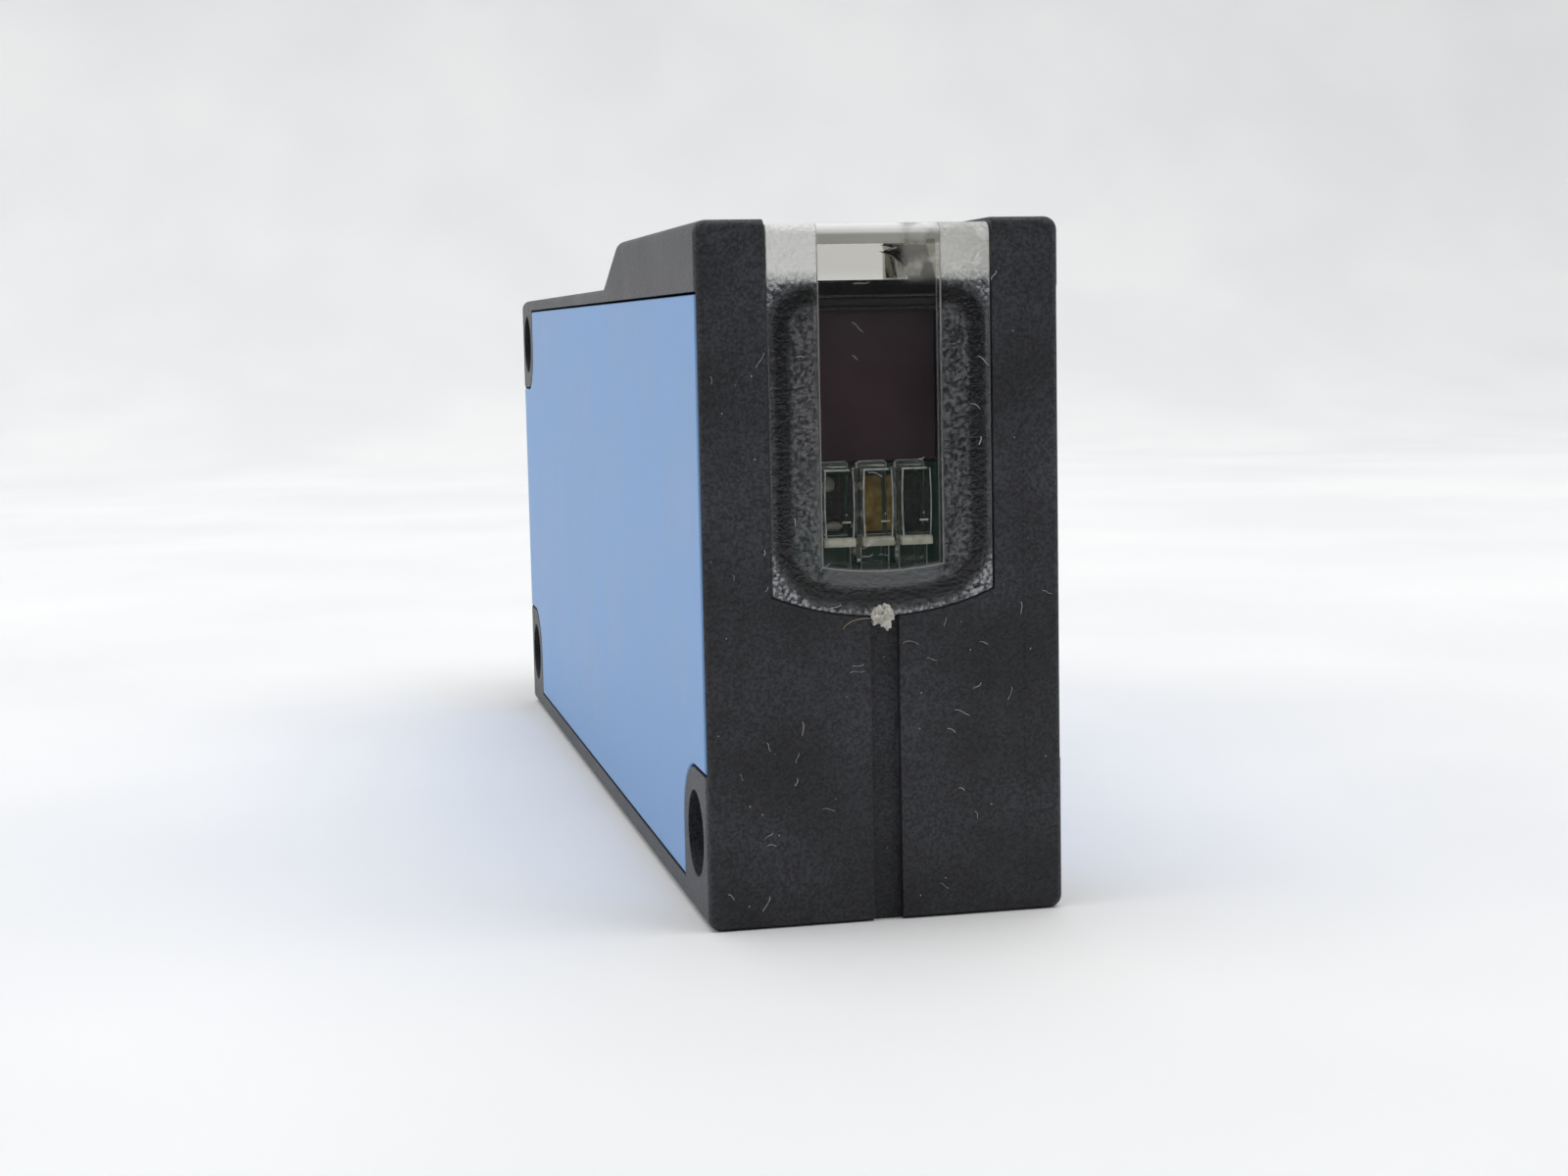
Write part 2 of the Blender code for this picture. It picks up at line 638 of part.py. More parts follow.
def make_adjusters(rotor_material, body_material, rubber, board):
    """Sensitivity adjuster and light/dark selector, each with rotor, seal and body, on one board."""
    half = ADJUSTER_BODY / 2
    body_low = CAVITY_FLOOR + CLEARANCE
    socket_top = ROTOR_RECESS + ROTOR_HEAD + ROTOR_STEM + ROTOR_FIT
    socket_radius = ROTOR_STEM_RADIUS + ROTOR_FIT / 2
    seal_low = ROTOR_RECESS + ROTOR_HEAD + CLEARANCE
    seal_high = CAVITY_FLOOR - CLEARANCE
    inner = ROTOR_STEM_RADIUS + CLEARANCE
    outer = ROTOR_HEAD_RADIUS + ROTOR_FIT - CLEARANCE
    ring = [(inner, seal_low), (outer, seal_low), (outer, seal_high), (inner, seal_high)]
    for name, y in (("sensitivity", SENSITIVITY_Y), ("selector", SELECTOR_Y)):
        make_rotor(name + "_rotor", y, rotor_material)
        low = (-half, y - half, body_low)
        high = (half, y + half, ADJUSTER_BODY_TOP)
        body = block(name + "_body", low, high, body_material)
        socket = disc(name + "_socket", socket_radius, "Z", (0.0, y), body_low - OVER, socket_top)
        cut(body, socket)
        turned(name + "_seal", ring, "Z", (0.0, y), rubber, closed=True)
    block(
        "control_board",
        (-half, SENSITIVITY_Y - half, ADJUSTER_BODY_TOP + CLEARANCE),
        (half, SELECTOR_Y + half, CONTROL_BOARD_TOP),
        board,
    )


def make_main_board(board, chip, can, pins):
    """Board beside the centre plane, with its larger components and the link to the display board."""
    face = MAIN_BOARD_SIDE
    middle = (MAIN_BOARD_LOW + MAIN_BOARD_HIGH) / 2
    block(
        "main_board",
        (face, MAIN_BOARD_NEAR, MAIN_BOARD_LOW),
        (face + BOARD, MAIN_BOARD_FAR, MAIN_BOARD_HIGH),
        board,
    )
    top = face - CLEARANCE
    components = (
        ("receiver_amplifier", 0.18, 4.9 * MM, 3.9 * MM, 1.5 * MM),
        ("microcontroller", 0.38, 7.0 * MM, 7.0 * MM, 1.0 * MM),
        ("output_transistor", 0.78, 6.5 * MM, 3.5 * MM, 1.6 * MM),
        ("protection_diode", 0.91, 4.3 * MM, 2.6 * MM, 2.2 * MM),
    )
    run = MAIN_BOARD_FAR - MAIN_BOARD_NEAR
    for name, share, along, tall, thick in components:
        y = MAIN_BOARD_NEAR + share * run
        low = (top - thick, y - along / 2, middle - tall / 2)
        high = (top, y + along / 2, middle + tall / 2)
        block(name, low, high, chip)
    y = MAIN_BOARD_NEAR + 0.6 * run
    disc("storage_capacitor", CAPACITOR_RADIUS, "X", (y, middle), top - CAPACITOR_LENGTH, top, can)
    link_low = (
        face - LINK_LENGTH,
        DISPLAY_BOARD_FRONT + BOARD + CLEARANCE,
        middle - LINK_HALF_HEIGHT,
    )
    link_high = (face + BOARD, MAIN_BOARD_NEAR - CLEARANCE, middle + LINK_HALF_HEIGHT)
    block("board_link", link_low, link_high, pins)


def make_connector(nickel, insert_material, rubber, gold, board):
    """Round M12 connector: threaded sleeve, lock nut, seal, insert, four contacts and their board."""
    centre = (0.0, CONNECTOR_Z)
    tip = FAR + CONNECTOR_LENGTH
    shank_end = FAR - FAR_WALL - NUT - SHANK_PAST_NUT
    flange_low = FAR + FLANGE_SEAL + 2 * CLEARANCE
    sleeve = [
        (SLEEVE_BORE, shank_end),
        (SHANK_RADIUS, shank_end),
        (SHANK_RADIUS, flange_low),
        (FLANGE_RADIUS, flange_low),
        (FLANGE_RADIUS, flange_low + FLANGE),
        (THREAD_RADIUS, flange_low + FLANGE),
        (THREAD_RADIUS, tip - THREAD_CHAMFER),
        (THREAD_RADIUS - THREAD_CHAMFER, tip),
        (SLEEVE_BORE, tip),
    ]
    turned("connector_sleeve", sleeve, "Y", centre, nickel, closed=True)
    low = FAR + CLEARANCE
    inner = NUT_BORE
    outer = FLANGE_RADIUS - CLEARANCE
    ring = [(inner, low), (outer, low), (outer, low + FLANGE_SEAL), (inner, low + FLANGE_SEAL)]
    turned("connector_seal", ring, "Y", centre, rubber, closed=True)

    nut_far = FAR - FAR_WALL - CLEARANCE
    nut_near = nut_far - NUT
    ring = [(NUT_BORE, nut_near), (NUT_RADIUS, nut_near), (NUT_RADIUS, nut_far), (NUT_BORE, nut_far)]
    nut = turned("connector_lock_nut", ring, "Y", centre, nickel, closed=True)
    floor = NUT_BORE + (NUT_RADIUS - NUT_BORE) * NOTCH_FLOOR_SHARE
    edge = NUT_RADIUS + OVER
    for inside, outside in ((floor, edge), (-edge, -floor)):
        low = (-NUT_NOTCH / 2, nut_near - OVER, CONNECTOR_Z + inside)
        high = (NUT_NOTCH / 2, nut_near + NUT / 2, CONNECTOR_Z + outside)
        cut(nut, block("spanner_notch", low, high))

    insert_face = tip - INSERT_DEPTH
    insert_radius = SLEEVE_BORE - CLEARANCE
    insert = disc("connector_insert", insert_radius, "Y", centre, INSERT_BACK, insert_face, insert_material)
    offset = PIN_CIRCLE / math.sqrt(2)
    board_low = CONNECTOR_BOARD_FAR - BOARD
    board_radius = SLEEVE_BORE + BOARD_GAP
    contact_board = disc("connector_board", board_radius, "Y", centre, board_low, CONNECTOR_BOARD_FAR, board)
    hole_radius = PIN_RADIUS + CLEARANCE
    for number, (sx, sz) in enumerate(((-1, 1), (1, 1), (1, -1), (-1, -1)), 1):
        at = (sx * offset, CONNECTOR_Z + sz * offset)
        name = "contact_pin_" + str(number)
        start = board_low - PIN_TAIL
        end = insert_face + PIN_LENGTH
        pin = [
            (0.0, start),
            (PIN_RADIUS, start),
            (PIN_RADIUS, end - PIN_TAPER),
            (PIN_RADIUS / 2, end),
            (0.0, end),
        ]
        turned(name, pin, "Y", at, gold, sides=12)
        hole = disc(name + "_hole", hole_radius, "Y", at, board_low - OVER, insert_face + OVER, sides=12)
        cut(insert, hole)
        cut(contact_board, hole)


def main():
    clear_scene()
    black = finish_material("black_abs", (0.022, 0.023, 0.026), 0.55)
    blue = finish_material("blue_abs", (0.23, 0.36, 0.58), 0.5)
    clear = finish_material("clear_pmma", (0.9, 0.9, 0.88), 0.08, transmission=0.9)
    rubber = finish_material("black_rubber", (0.012, 0.012, 0.013), 0.8)
    dark = finish_material("dark_brown_optic_plastic", (0.045, 0.036, 0.042), 0.25)
    board = finish_material("green_board", (0.08, 0.16, 0.12), 0.45)
    chip = finish_material("component_black", (0.02, 0.02, 0.02), 0.5)
    amber = finish_material("amber_led", (0.6, 0.35, 0.08), 0.3)
    white = finish_material("white_led", (0.7, 0.7, 0.6), 0.3)
    green = finish_material("green_led", (0.3, 0.5, 0.3), 0.3)
    grey = finish_material("grey_rotor", (0.35, 0.36, 0.37), 0.5)
    nickel = finish_material("nickel_plate", (0.65, 0.63, 0.58), 0.25, metallic=1.0)
    gold = finish_material("gold_plate", (0.9, 0.7, 0.35), 0.2, metallic=1.0)
    can = finish_material("aluminium_can", (0.7, 0.7, 0.72), 0.35, metallic=1.0)

    make_housing(black)
    make_covers(blue)
    make_window(clear, rubber)
    make_optics(dark, clear, board, chip, amber)
    make_indicators(clear, board, {"left": white, "middle": amber, "right": green})
    make_adjusters(grey, chip, rubber, board)
    make_main_board(board, chip, can, chip)
    make_connector(nickel, chip, rubber, gold, board)


main()
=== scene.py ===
import json
import math
import random

import bmesh
import bpy
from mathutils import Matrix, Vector


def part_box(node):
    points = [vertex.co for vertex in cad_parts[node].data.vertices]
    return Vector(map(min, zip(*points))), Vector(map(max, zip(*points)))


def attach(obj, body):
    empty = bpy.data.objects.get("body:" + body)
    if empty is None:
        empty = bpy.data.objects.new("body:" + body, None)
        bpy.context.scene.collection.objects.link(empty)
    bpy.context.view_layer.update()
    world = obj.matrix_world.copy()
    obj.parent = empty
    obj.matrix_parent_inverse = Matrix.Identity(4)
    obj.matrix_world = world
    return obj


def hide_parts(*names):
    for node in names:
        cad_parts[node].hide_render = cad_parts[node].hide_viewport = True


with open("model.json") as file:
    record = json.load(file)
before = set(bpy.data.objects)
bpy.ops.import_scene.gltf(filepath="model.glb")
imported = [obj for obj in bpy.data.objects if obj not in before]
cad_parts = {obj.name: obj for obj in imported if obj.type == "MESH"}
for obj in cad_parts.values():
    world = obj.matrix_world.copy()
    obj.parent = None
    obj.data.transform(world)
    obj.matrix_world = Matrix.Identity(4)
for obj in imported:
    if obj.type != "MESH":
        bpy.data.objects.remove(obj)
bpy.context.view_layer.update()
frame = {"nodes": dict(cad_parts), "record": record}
mm = 0.001
tiny = 0.00001
over = 1 * mm                                    # how far a cutter runs past what it cuts
bpy.context.scene.view_settings.view_transform = "Standard"
print("frame loaded:", len(frame["nodes"]), "CAD nodes")


def take(obj):                                   # the only object that the next operators act on
    bpy.ops.object.select_all(action="DESELECT")
    obj.select_set(True)
    bpy.context.view_layer.objects.active = obj


def settle(name):                                # names a new object and puts its place into its mesh
    obj = bpy.context.object
    obj.name = name
    obj.data.name = name
    take(obj)
    bpy.ops.object.transform_apply(location=True, rotation=True, scale=True)
    return obj


def addBox(name, low, high):
    bpy.ops.object.select_all(action="DESELECT")
    low = Vector(low)
    high = Vector(high)
    bpy.ops.mesh.primitive_cube_add(size=1, location=(low + high) / 2)
    bpy.context.object.scale = high - low
    return settle(name)


def addRod(name, radius, start, end, sides=64, tip=None):    # tip is the radius at its far end
    bpy.ops.object.select_all(action="DESELECT")
    start = Vector(start)
    end = Vector(end)
    turn = (end - start).to_track_quat("Z", "Y").to_euler()
    bpy.ops.mesh.primitive_cone_add(
        vertices=sides, radius1=radius, radius2=radius if tip is None else tip,
        depth=(end - start).length, location=(start + end) / 2, rotation=turn)
    return settle(name)


def addBall(name, at, size, detail=3):           # size is its three diameters
    bpy.ops.object.select_all(action="DESELECT")
    bpy.ops.mesh.primitive_ico_sphere_add(subdivisions=detail, radius=0.5, location=at)
    bpy.context.object.scale = size
    return settle(name)


def pick(obj, what, test):                       # edit mode, with what passes the test selected
    take(obj)
    bpy.ops.object.mode_set(mode="EDIT")
    bpy.ops.mesh.select_mode(type=what)
    bpy.ops.mesh.select_all(action="DESELECT")
    mesh = bmesh.from_edit_mesh(obj.data)
    parts = {"VERT": mesh.verts, "EDGE": mesh.edges, "FACE": mesh.faces}[what]
    for part in parts:
        if test(part):
            part.select_set(True)
    bmesh.update_edit_mesh(obj.data)


def leave():
    bpy.ops.object.mode_set(mode="OBJECT")


def cutRound(obj, at, normal):                   # a cut all round, with nothing removed
    pick(obj, "FACE", lambda face: True)
    bpy.ops.mesh.bisect(plane_co=at, plane_no=normal)
    leave()


def faceOut(obj):                                # turns every face outwards, on a closed solid shape
    pick(obj, "FACE", lambda face: True)
    bpy.ops.mesh.normals_make_consistent(inside=False)
    leave()


def roughen(obj, offset, seed):                  # moves every vertex a little at random
    pick(obj, "FACE", lambda face: True)
    bpy.ops.transform.vertex_random(offset=offset, seed=seed)
    leave()


def shift(obj, test, move):                      # moves the vertices that pass the test
    pick(obj, "VERT", lambda vert: test(vert.co))
    bpy.ops.transform.translate(value=move)
    leave()


def bevelEdges(obj, test, width, steps):
    pick(obj, "EDGE", test)
    bpy.ops.mesh.bevel(offset=width, segments=steps, affect="EDGES", clamp_overlap=True)
    leave()


def along(edge):                                 # the unit direction of an edge
    return (edge.verts[1].co - edge.verts[0].co).normalized()


def sharp(edge, degrees=20):
    return len(edge.link_faces) == 2 and edge.calc_face_angle(0) > math.radians(degrees)


def applyModifier(obj, kind, **settings):
    take(obj)
    modifier = obj.modifiers.new(kind.lower(), kind)
    for name, value in settings.items():
        setattr(modifier, name, value)
    bpy.ops.object.modifier_apply(modifier=modifier.name)


def carve(target, tool, how="DIFFERENCE"):       # cuts with a tool shape, or joins it, and removes it
    applyModifier(target, "BOOLEAN", operation=how, solver="EXACT", object=tool)
    bpy.data.objects.remove(tool)


def finishSurface(obj, width=0.0, steps=2, angle=40, clean=0.002 * mm):
    pick(obj, "FACE", lambda face: True)
    bpy.ops.mesh.remove_doubles(threshold=clean)
    bpy.ops.mesh.dissolve_limited(angle_limit=math.radians(0.5))
    leave()
    if width:
        applyModifier(obj, "BEVEL", width=width, segments=steps, limit_method="ANGLE",
                      angle_limit=math.radians(angle), use_clamp_overlap=False)
    take(obj)
    bpy.ops.object.shade_smooth_by_angle(angle=math.radians(angle))
    applyModifier(obj, "WEIGHTED_NORMAL", keep_sharp=True, weight=80)


def copyOf(obj, name):                           # a copy with its own mesh
    twin = obj.copy()
    twin.data = obj.data.copy()
    twin.name = name
    twin.data.name = name
    bpy.context.scene.collection.objects.link(twin)
    return twin


def joinAll(name, pieces):                       # several closed shapes as one piece
    bpy.ops.object.select_all(action="DESELECT")
    for piece in pieces:
        piece.select_set(True)
    bpy.context.view_layer.objects.active = pieces[0]
    bpy.ops.object.join()
    return settle(name)


def place(piece, material, slot, *nodes, body="sensor"):     # finish and body of a finished piece; the slot argument is not used
    piece.data.materials.clear()
    piece.data.materials.append(material)
    if nodes:
        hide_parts(*nodes)
    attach(piece, body)


# sizes that several pieces share, read from the CAD
bodyLow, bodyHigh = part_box("housing")
coverLow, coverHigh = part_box("left_side_cover")
windowLow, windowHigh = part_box("front_window")
sealLow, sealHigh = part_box("window_seal")
carrierLow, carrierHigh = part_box("optics_carrier")
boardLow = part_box("display_board")[0]
sleeveLow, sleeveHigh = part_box("connector_sleeve")
near, far, side = bodyLow.y, bodyHigh.y, bodyHigh.x
connectorZ = (sleeveLow.z + sleeveHigh.z) / 2


# materials
def linear(hexCode):                             # an sRGB hex value as the linear colour that nodes take
    values = [int(hexCode[i:i + 2], 16) / 255 for i in (0, 2, 4)]
    values = [v / 12.92 if v <= 0.04045 else ((v + 0.055) / 1.055) ** 2.4 for v in values]
    return (*values, 1.0)


def node(tree, kind, inputs=None, **settings):   # a node with its settings, values and links
    made = tree.nodes.new("ShaderNode" + kind)
    for name, value in settings.items():
        setattr(made, name, value)
    for name, value in (inputs or {}).items():
        if isinstance(value, bpy.types.NodeSocket):
            tree.links.new(value, made.inputs[name])
        else:
            made.inputs[name].default_value = value
    return made


def newMaterial(name):                           # its tree, its shader and coordinates in millimetres
    material = bpy.data.materials.new(name)
    material.use_nodes = True
    tree = material.node_tree
    shader = tree.nodes["Principled BSDF"]
    coords = node(tree, "TexCoord")
    scaled = node(tree, "Mapping", {"Vector": coords.outputs["Object"], "Scale": (1000, 1000, 1000)})
    return material, tree, shader, scaled.outputs["Vector"]


def wireUp(tree, shader, colour, rough, bump):   # a finish's colour, roughness and bump
    tree.links.new(colour, shader.inputs["Base Color"])
    tree.links.new(rough, shader.inputs["Roughness"])
    tree.links.new(bump.outputs["Normal"], shader.inputs["Normal"])


def ramp(tree, value, stops, mode="LINEAR"):     # stops are (place, hex colour or grey number)
    made = node(tree, "ValToRGB", {"Fac": value})
    made.color_ramp.interpolation = mode
    points = made.color_ramp.elements
    while len(points) < len(stops):
        points.new(0.5)
    for point, (position, tone) in zip(points, stops):
        point.position = position
        point.color = linear(tone) if isinstance(tone, str) else (tone, tone, tone, 1)
    return made.outputs["Color"]


def mixColour(tree, factor, first, second):
    made = node(tree, "Mix", {0: factor, 6: first, 7: second}, data_type="RGBA")
    return made.outputs[2]


def dustMask(tree, mmCoords, spacing, radius, share):        # small specks about spacing mm apart
    cells = node(tree, "TexVoronoi", {"Vector": mmCoords, "Scale": 1 / spacing, "Randomness": 1.0})
    disc = node(tree, "MapRange", {0: cells.outputs["Distance"], 1: radius / spacing,
                                     2: 0.5 * radius / spacing, 3: 0.0, 4: 1.0})
    chosen = node(tree, "SeparateColor", {0: cells.outputs["Color"]})
    some = node(tree, "Math", {0: chosen.outputs[0], 1: share}, operation="LESS_THAN")
    return node(tree, "Math", {0: disc.outputs[0], 1: some.outputs[0]}, operation="MULTIPLY").outputs[0]


def mouldedPlastic(name, looks):
    # spark-eroded mould grain, a slow change of tone, and dust that lies in the grain
    material, tree, shader, mmCoords = newMaterial(name)
    grain = node(tree, "TexNoise", {"Vector": mmCoords, "Scale": 1 / looks["grain"], "Detail": 3, "Roughness": 0.6})
    slow = node(tree, "TexNoise", {"Vector": mmCoords, "Scale": 1 / looks["cloud"], "Detail": 2})
    tone = ramp(tree, slow.outputs["Fac"], ((0.35, looks["dark"]), (0.65, looks["light"])))
    pits = ramp(tree, grain.outputs["Fac"], ((0.38, 1 - looks["pits"]), (0.62, 1.0)))
    body = node(tree, "Mix", {0: 1.0, 6: tone, 7: pits}, data_type="RGBA", blend_type="MULTIPLY").outputs[2]
    fine = dustMask(tree, mmCoords, looks["dustSpacing"], looks["dustRadius"], looks["dustShare"])
    colour = mixColour(tree, fine, body, linear(looks["dust"]))
    rough = node(tree, "MapRange", {0: slow.outputs["Fac"], 1: 0.3, 2: 0.7,
                                    3: looks["rough"] - 0.05, 4: looks["rough"] + 0.06})
    bump = node(tree, "Bump", {"Height": grain.outputs["Fac"], "Strength": looks["bump"],
                               "Distance": looks["depth"] * mm})
    wireUp(tree, shader, colour, rough.outputs[0], bump)
    shader.inputs["IOR"].default_value = looks["ior"]
    return material


blackLooks = {"dark": "222328", "light": "3e3f46", "grain": 0.15, "cloud": 6.0, "pits": 0.75,
              "dust": "b4b5b1", "dustSpacing": 0.7, "dustRadius": 0.042, "dustShare": 0.55,
              "rough": 0.45, "bump": 1.0, "depth": 0.08, "ior": 1.46}
blueLooks = {"dark": "6c97c9", "light": "759fd1", "grain": 0.12, "cloud": 9.0, "pits": 0.06,
             "dust": "b9cce4", "dustSpacing": 2.2, "dustRadius": 0.05, "dustShare": 0.35,
             "rough": 0.46, "bump": 0.35, "depth": 0.01, "ior": 1.5}
greyLooks = {"dark": "8d9093", "light": "9b9ea0", "grain": 0.1, "cloud": 2.0, "pits": 0.12,
             "dust": "c9cac8", "dustSpacing": 0.8, "dustRadius": 0.03, "dustShare": 0.4,
             "rough": 0.42, "bump": 0.3, "depth": 0.01, "ior": 1.5}
rubberLooks = {"dark": "111112", "light": "19191a", "grain": 0.07, "cloud": 2.0, "pits": 0.3,
               "dust": "77756f", "dustSpacing": 0.7, "dustRadius": 0.03, "dustShare": 0.4,
               "rough": 0.78, "bump": 0.5, "depth": 0.015, "ior": 1.5}
epoxyLooks = {"dark": "1d1d1e", "light": "262627", "grain": 0.05, "cloud": 1.5, "pits": 0.25,
              "dust": "8b8b88", "dustSpacing": 0.8, "dustRadius": 0.02, "dustShare": 0.3,
              "rough": 0.6, "bump": 0.5, "depth": 0.01, "ior": 1.5}
housingBlack = mouldedPlastic("sparkErodedBlackAbs", blackLooks)       # dull black with a fine sparkle of grain
coverBlue = mouldedPlastic("satinBluePolycarbonate", blueLooks)        # even pale blue, soft highlight
rotorGrey = mouldedPlastic("greyGlassNylon", greyLooks)                # light grey, slightly cloudy
rubberBlack = mouldedPlastic("mattNitrileRubber", rubberLooks)         # dead matt black
epoxyBlack = mouldedPlastic("mouldedBlackEpoxy", epoxyLooks)           # chip bodies, powdery dark grey


def letLampsThrough(tree, shader):               # a clear body that doesn't shade what lies behind it
    path = node(tree, "LightPath")
    clear = node(tree, "BsdfTransparent", {"Color": (0.94, 0.94, 0.93, 1)})
    mix = node(tree, "MixShader", {0: path.outputs["Is Shadow Ray"], 1: shader.outputs[0], 2: clear.outputs[0]})
    tree.links.new(mix.outputs[0], tree.nodes["Material Output"].inputs["Surface"])


# the roof tint and roof milk paint light into the top of the frost, the band values and the line milk paint highlights
# at the front top edge and along the edges, and the ring tint paints shade on the ring
windowLooks = {"clearHalf": 2.98, "clearFoot": 16.9, "clearSag": 0.031, "ringHalf": 4.73, "ringWidth": 0.36,
               "ringTop": 29.6, "ringFoot": 15.75, "ringCorner": 1.9, "milk": 0.1, "milkOutside": 0.06,
               "paintedRoofMilk": 0.6, "roofFrom": 30.3, "roofFull": 31.2, "highlightFrom": 32.26, "highlightFull": 32.36,
               "highlightEnd": 1.7, "highlightMilk": 0.85, "edgeFrom": 32.72, "edgeFull": 32.9, "sideFrom": 5.3, "sideFull": 5.38,
               "smearFrom": 0.9, "smearFull": 1.4, "smear": 0.25, "smearBlotch": 0.5,
               "paleLow": 15.85, "paleHigh": 16.95, "paleHalf": 3.0, "pale": 0.2,
               "highlightLineMilk": 0.3, "milkFoot": 0.3,
               "frostRough": 0.24, "frostGrain": 0.18, "frostWrinkle": 0.34, "frostBump": 1.0, "frostDepth": 0.055,
               "clearTint": "fbfbf8", "prismTint": "d8d6cb", "highlightTint": "b3b1a8", "edgeTint": "fdfdfb",
               "frostTint": "a3a5a9", "roofLightTint": "eeeeea", "ringShadeTint": "6c6d71"}       # heights and widths in mm


def windowMaterial():
    # injection-moulded PMMA: polished down the middle, spark-eroded to a frost at both sides and the foot.
    # Behind the frost the bond line wets the grain, which makes the ring less milky; the ring's darker tint is painted
    # shade of the gap behind it.
    looks = windowLooks
    material, tree, shader, mmCoords = newMaterial("frostedClearPmma")
    split = node(tree, "SeparateXYZ", {0: mmCoords})
    x, y, z = split.outputs[0], split.outputs[1], split.outputs[2]

    def maths(how, first, second=0.0, third=0.0):
        return node(tree, "Math", {0: first, 1: second, 2: third}, operation=how).outputs[0]

    def soft(value, start, end):
        return node(tree, "MapRange", {0: value, 1: start, 2: end}, interpolation_type="SMOOTHSTEP").outputs[0]

    wide = maths("ABSOLUTE", x)
    hang = maths("MULTIPLY", maths("MULTIPLY", x, x), looks["clearSag"])
    level = maths("SUBTRACT", z, hang)
    middle = soft(wide, looks["clearHalf"] + 0.03, looks["clearHalf"] - 0.03)
    raised = soft(level, looks["clearFoot"] - 0.04, looks["clearFoot"] + 0.04)
    clearMask = maths("MULTIPLY", middle, raised)

    # distance from the bond line, a rectangle with round corners and a hanging foot
    centre = (looks["ringTop"] + looks["ringFoot"]) / 2
    reach = (looks["ringTop"] - looks["ringFoot"]) / 2 - looks["ringCorner"]
    up = maths("ABSOLUTE", maths("SUBTRACT", level, centre))
    outX = maths("MAXIMUM", maths("SUBTRACT", wide, looks["ringHalf"] - looks["ringCorner"]), 0.0)
    outZ = maths("MAXIMUM", maths("SUBTRACT", up, reach), 0.0)
    squares = maths("ADD", maths("MULTIPLY", outX, outX), maths("MULTIPLY", outZ, outZ))
    distance = maths("SUBTRACT", maths("SQRT", squares), looks["ringCorner"])
    onRing = soft(maths("ABSOLUTE", distance), looks["ringWidth"] + 0.16, looks["ringWidth"] - 0.16)
    outside = soft(distance, -0.1, 0.3)

    grain = node(tree, "TexNoise", {"Vector": mmCoords, "Scale": 1 / looks["frostGrain"], "Detail": 2,
                                    "Roughness": 0.55})
    wrinkle = node(tree, "TexNoise", {"Vector": mmCoords, "Scale": 1 / looks["frostWrinkle"], "Detail": 1,
                                      "Distortion": 0.6})
    scuffs = node(tree, "TexNoise", {"Vector": mmCoords, "Scale": 0.8, "Detail": 2})
    milk = node(tree, "Mix", {0: outside, 2: looks["milk"], 3: looks["milkOutside"]}, data_type="FLOAT").outputs[0]
    dry = maths("SUBTRACT", 1.0, maths("MULTIPLY", onRing, 0.85))
    frost = maths("SUBTRACT", 1.0, clearMask)
    speckle = node(tree, "MapRange", {0: grain.outputs["Fac"], 1: 0.42, 2: 0.62, 3: 0.0, 4: 2.8}).outputs[0]
    inRoof = soft(z, looks["roofFrom"], looks["roofFull"])
    speckle = node(tree, "Mix", {0: inRoof, 2: speckle, 3: 1.0}, data_type="FLOAT").outputs[0]
    # painted light: the frost in the roof zone is made milkier, more so towards the left, for the light that comes in
    # through the roof
    paintedRoofLight = maths("MULTIPLY", inRoof, soft(x, 6.0, -3.0))
    footMilk = maths("MULTIPLY", soft(distance, 0.55, 0.9), looks["milkFoot"])
    milk = maths("ADD", maths("MULTIPLY", milk, dry), maths("MULTIPLY_ADD", paintedRoofLight, looks["paintedRoofMilk"], footMilk))
    milky = maths("MULTIPLY", maths("MULTIPLY", milk, frost), speckle)
    # painted highlights: milky white lines along the step between polish and frost, along the foot of the polished
    # strip and along the outer edges, and a milky band at the front top edge
    stepLine = maths("MULTIPLY", soft(maths("ABSOLUTE", maths("SUBTRACT", wide, looks["clearHalf"])), 0.07, 0.02),
                     soft(level, looks["clearFoot"] - 0.1, looks["clearFoot"]))
    fromFoot = maths("ABSOLUTE", maths("SUBTRACT", level, looks["clearFoot"]))
    footLine = maths("MULTIPLY", soft(fromFoot, 0.07, 0.02), middle)
    sideLine = soft(wide, looks["sideFrom"], looks["sideFull"])
    lines = maths("MULTIPLY", maths("MAXIMUM", maths("MAXIMUM", stepLine, footLine), sideLine), looks["highlightLineMilk"])
    atFront = soft(y, near / mm + 0.75, near / mm + 0.45)
    onHighlight = soft(z, looks["highlightFrom"], looks["highlightFull"])
    paintedHighlight = maths("MULTIPLY", maths("MULTIPLY", onHighlight, soft(x, looks["highlightEnd"], looks["smearFrom"])), atFront)
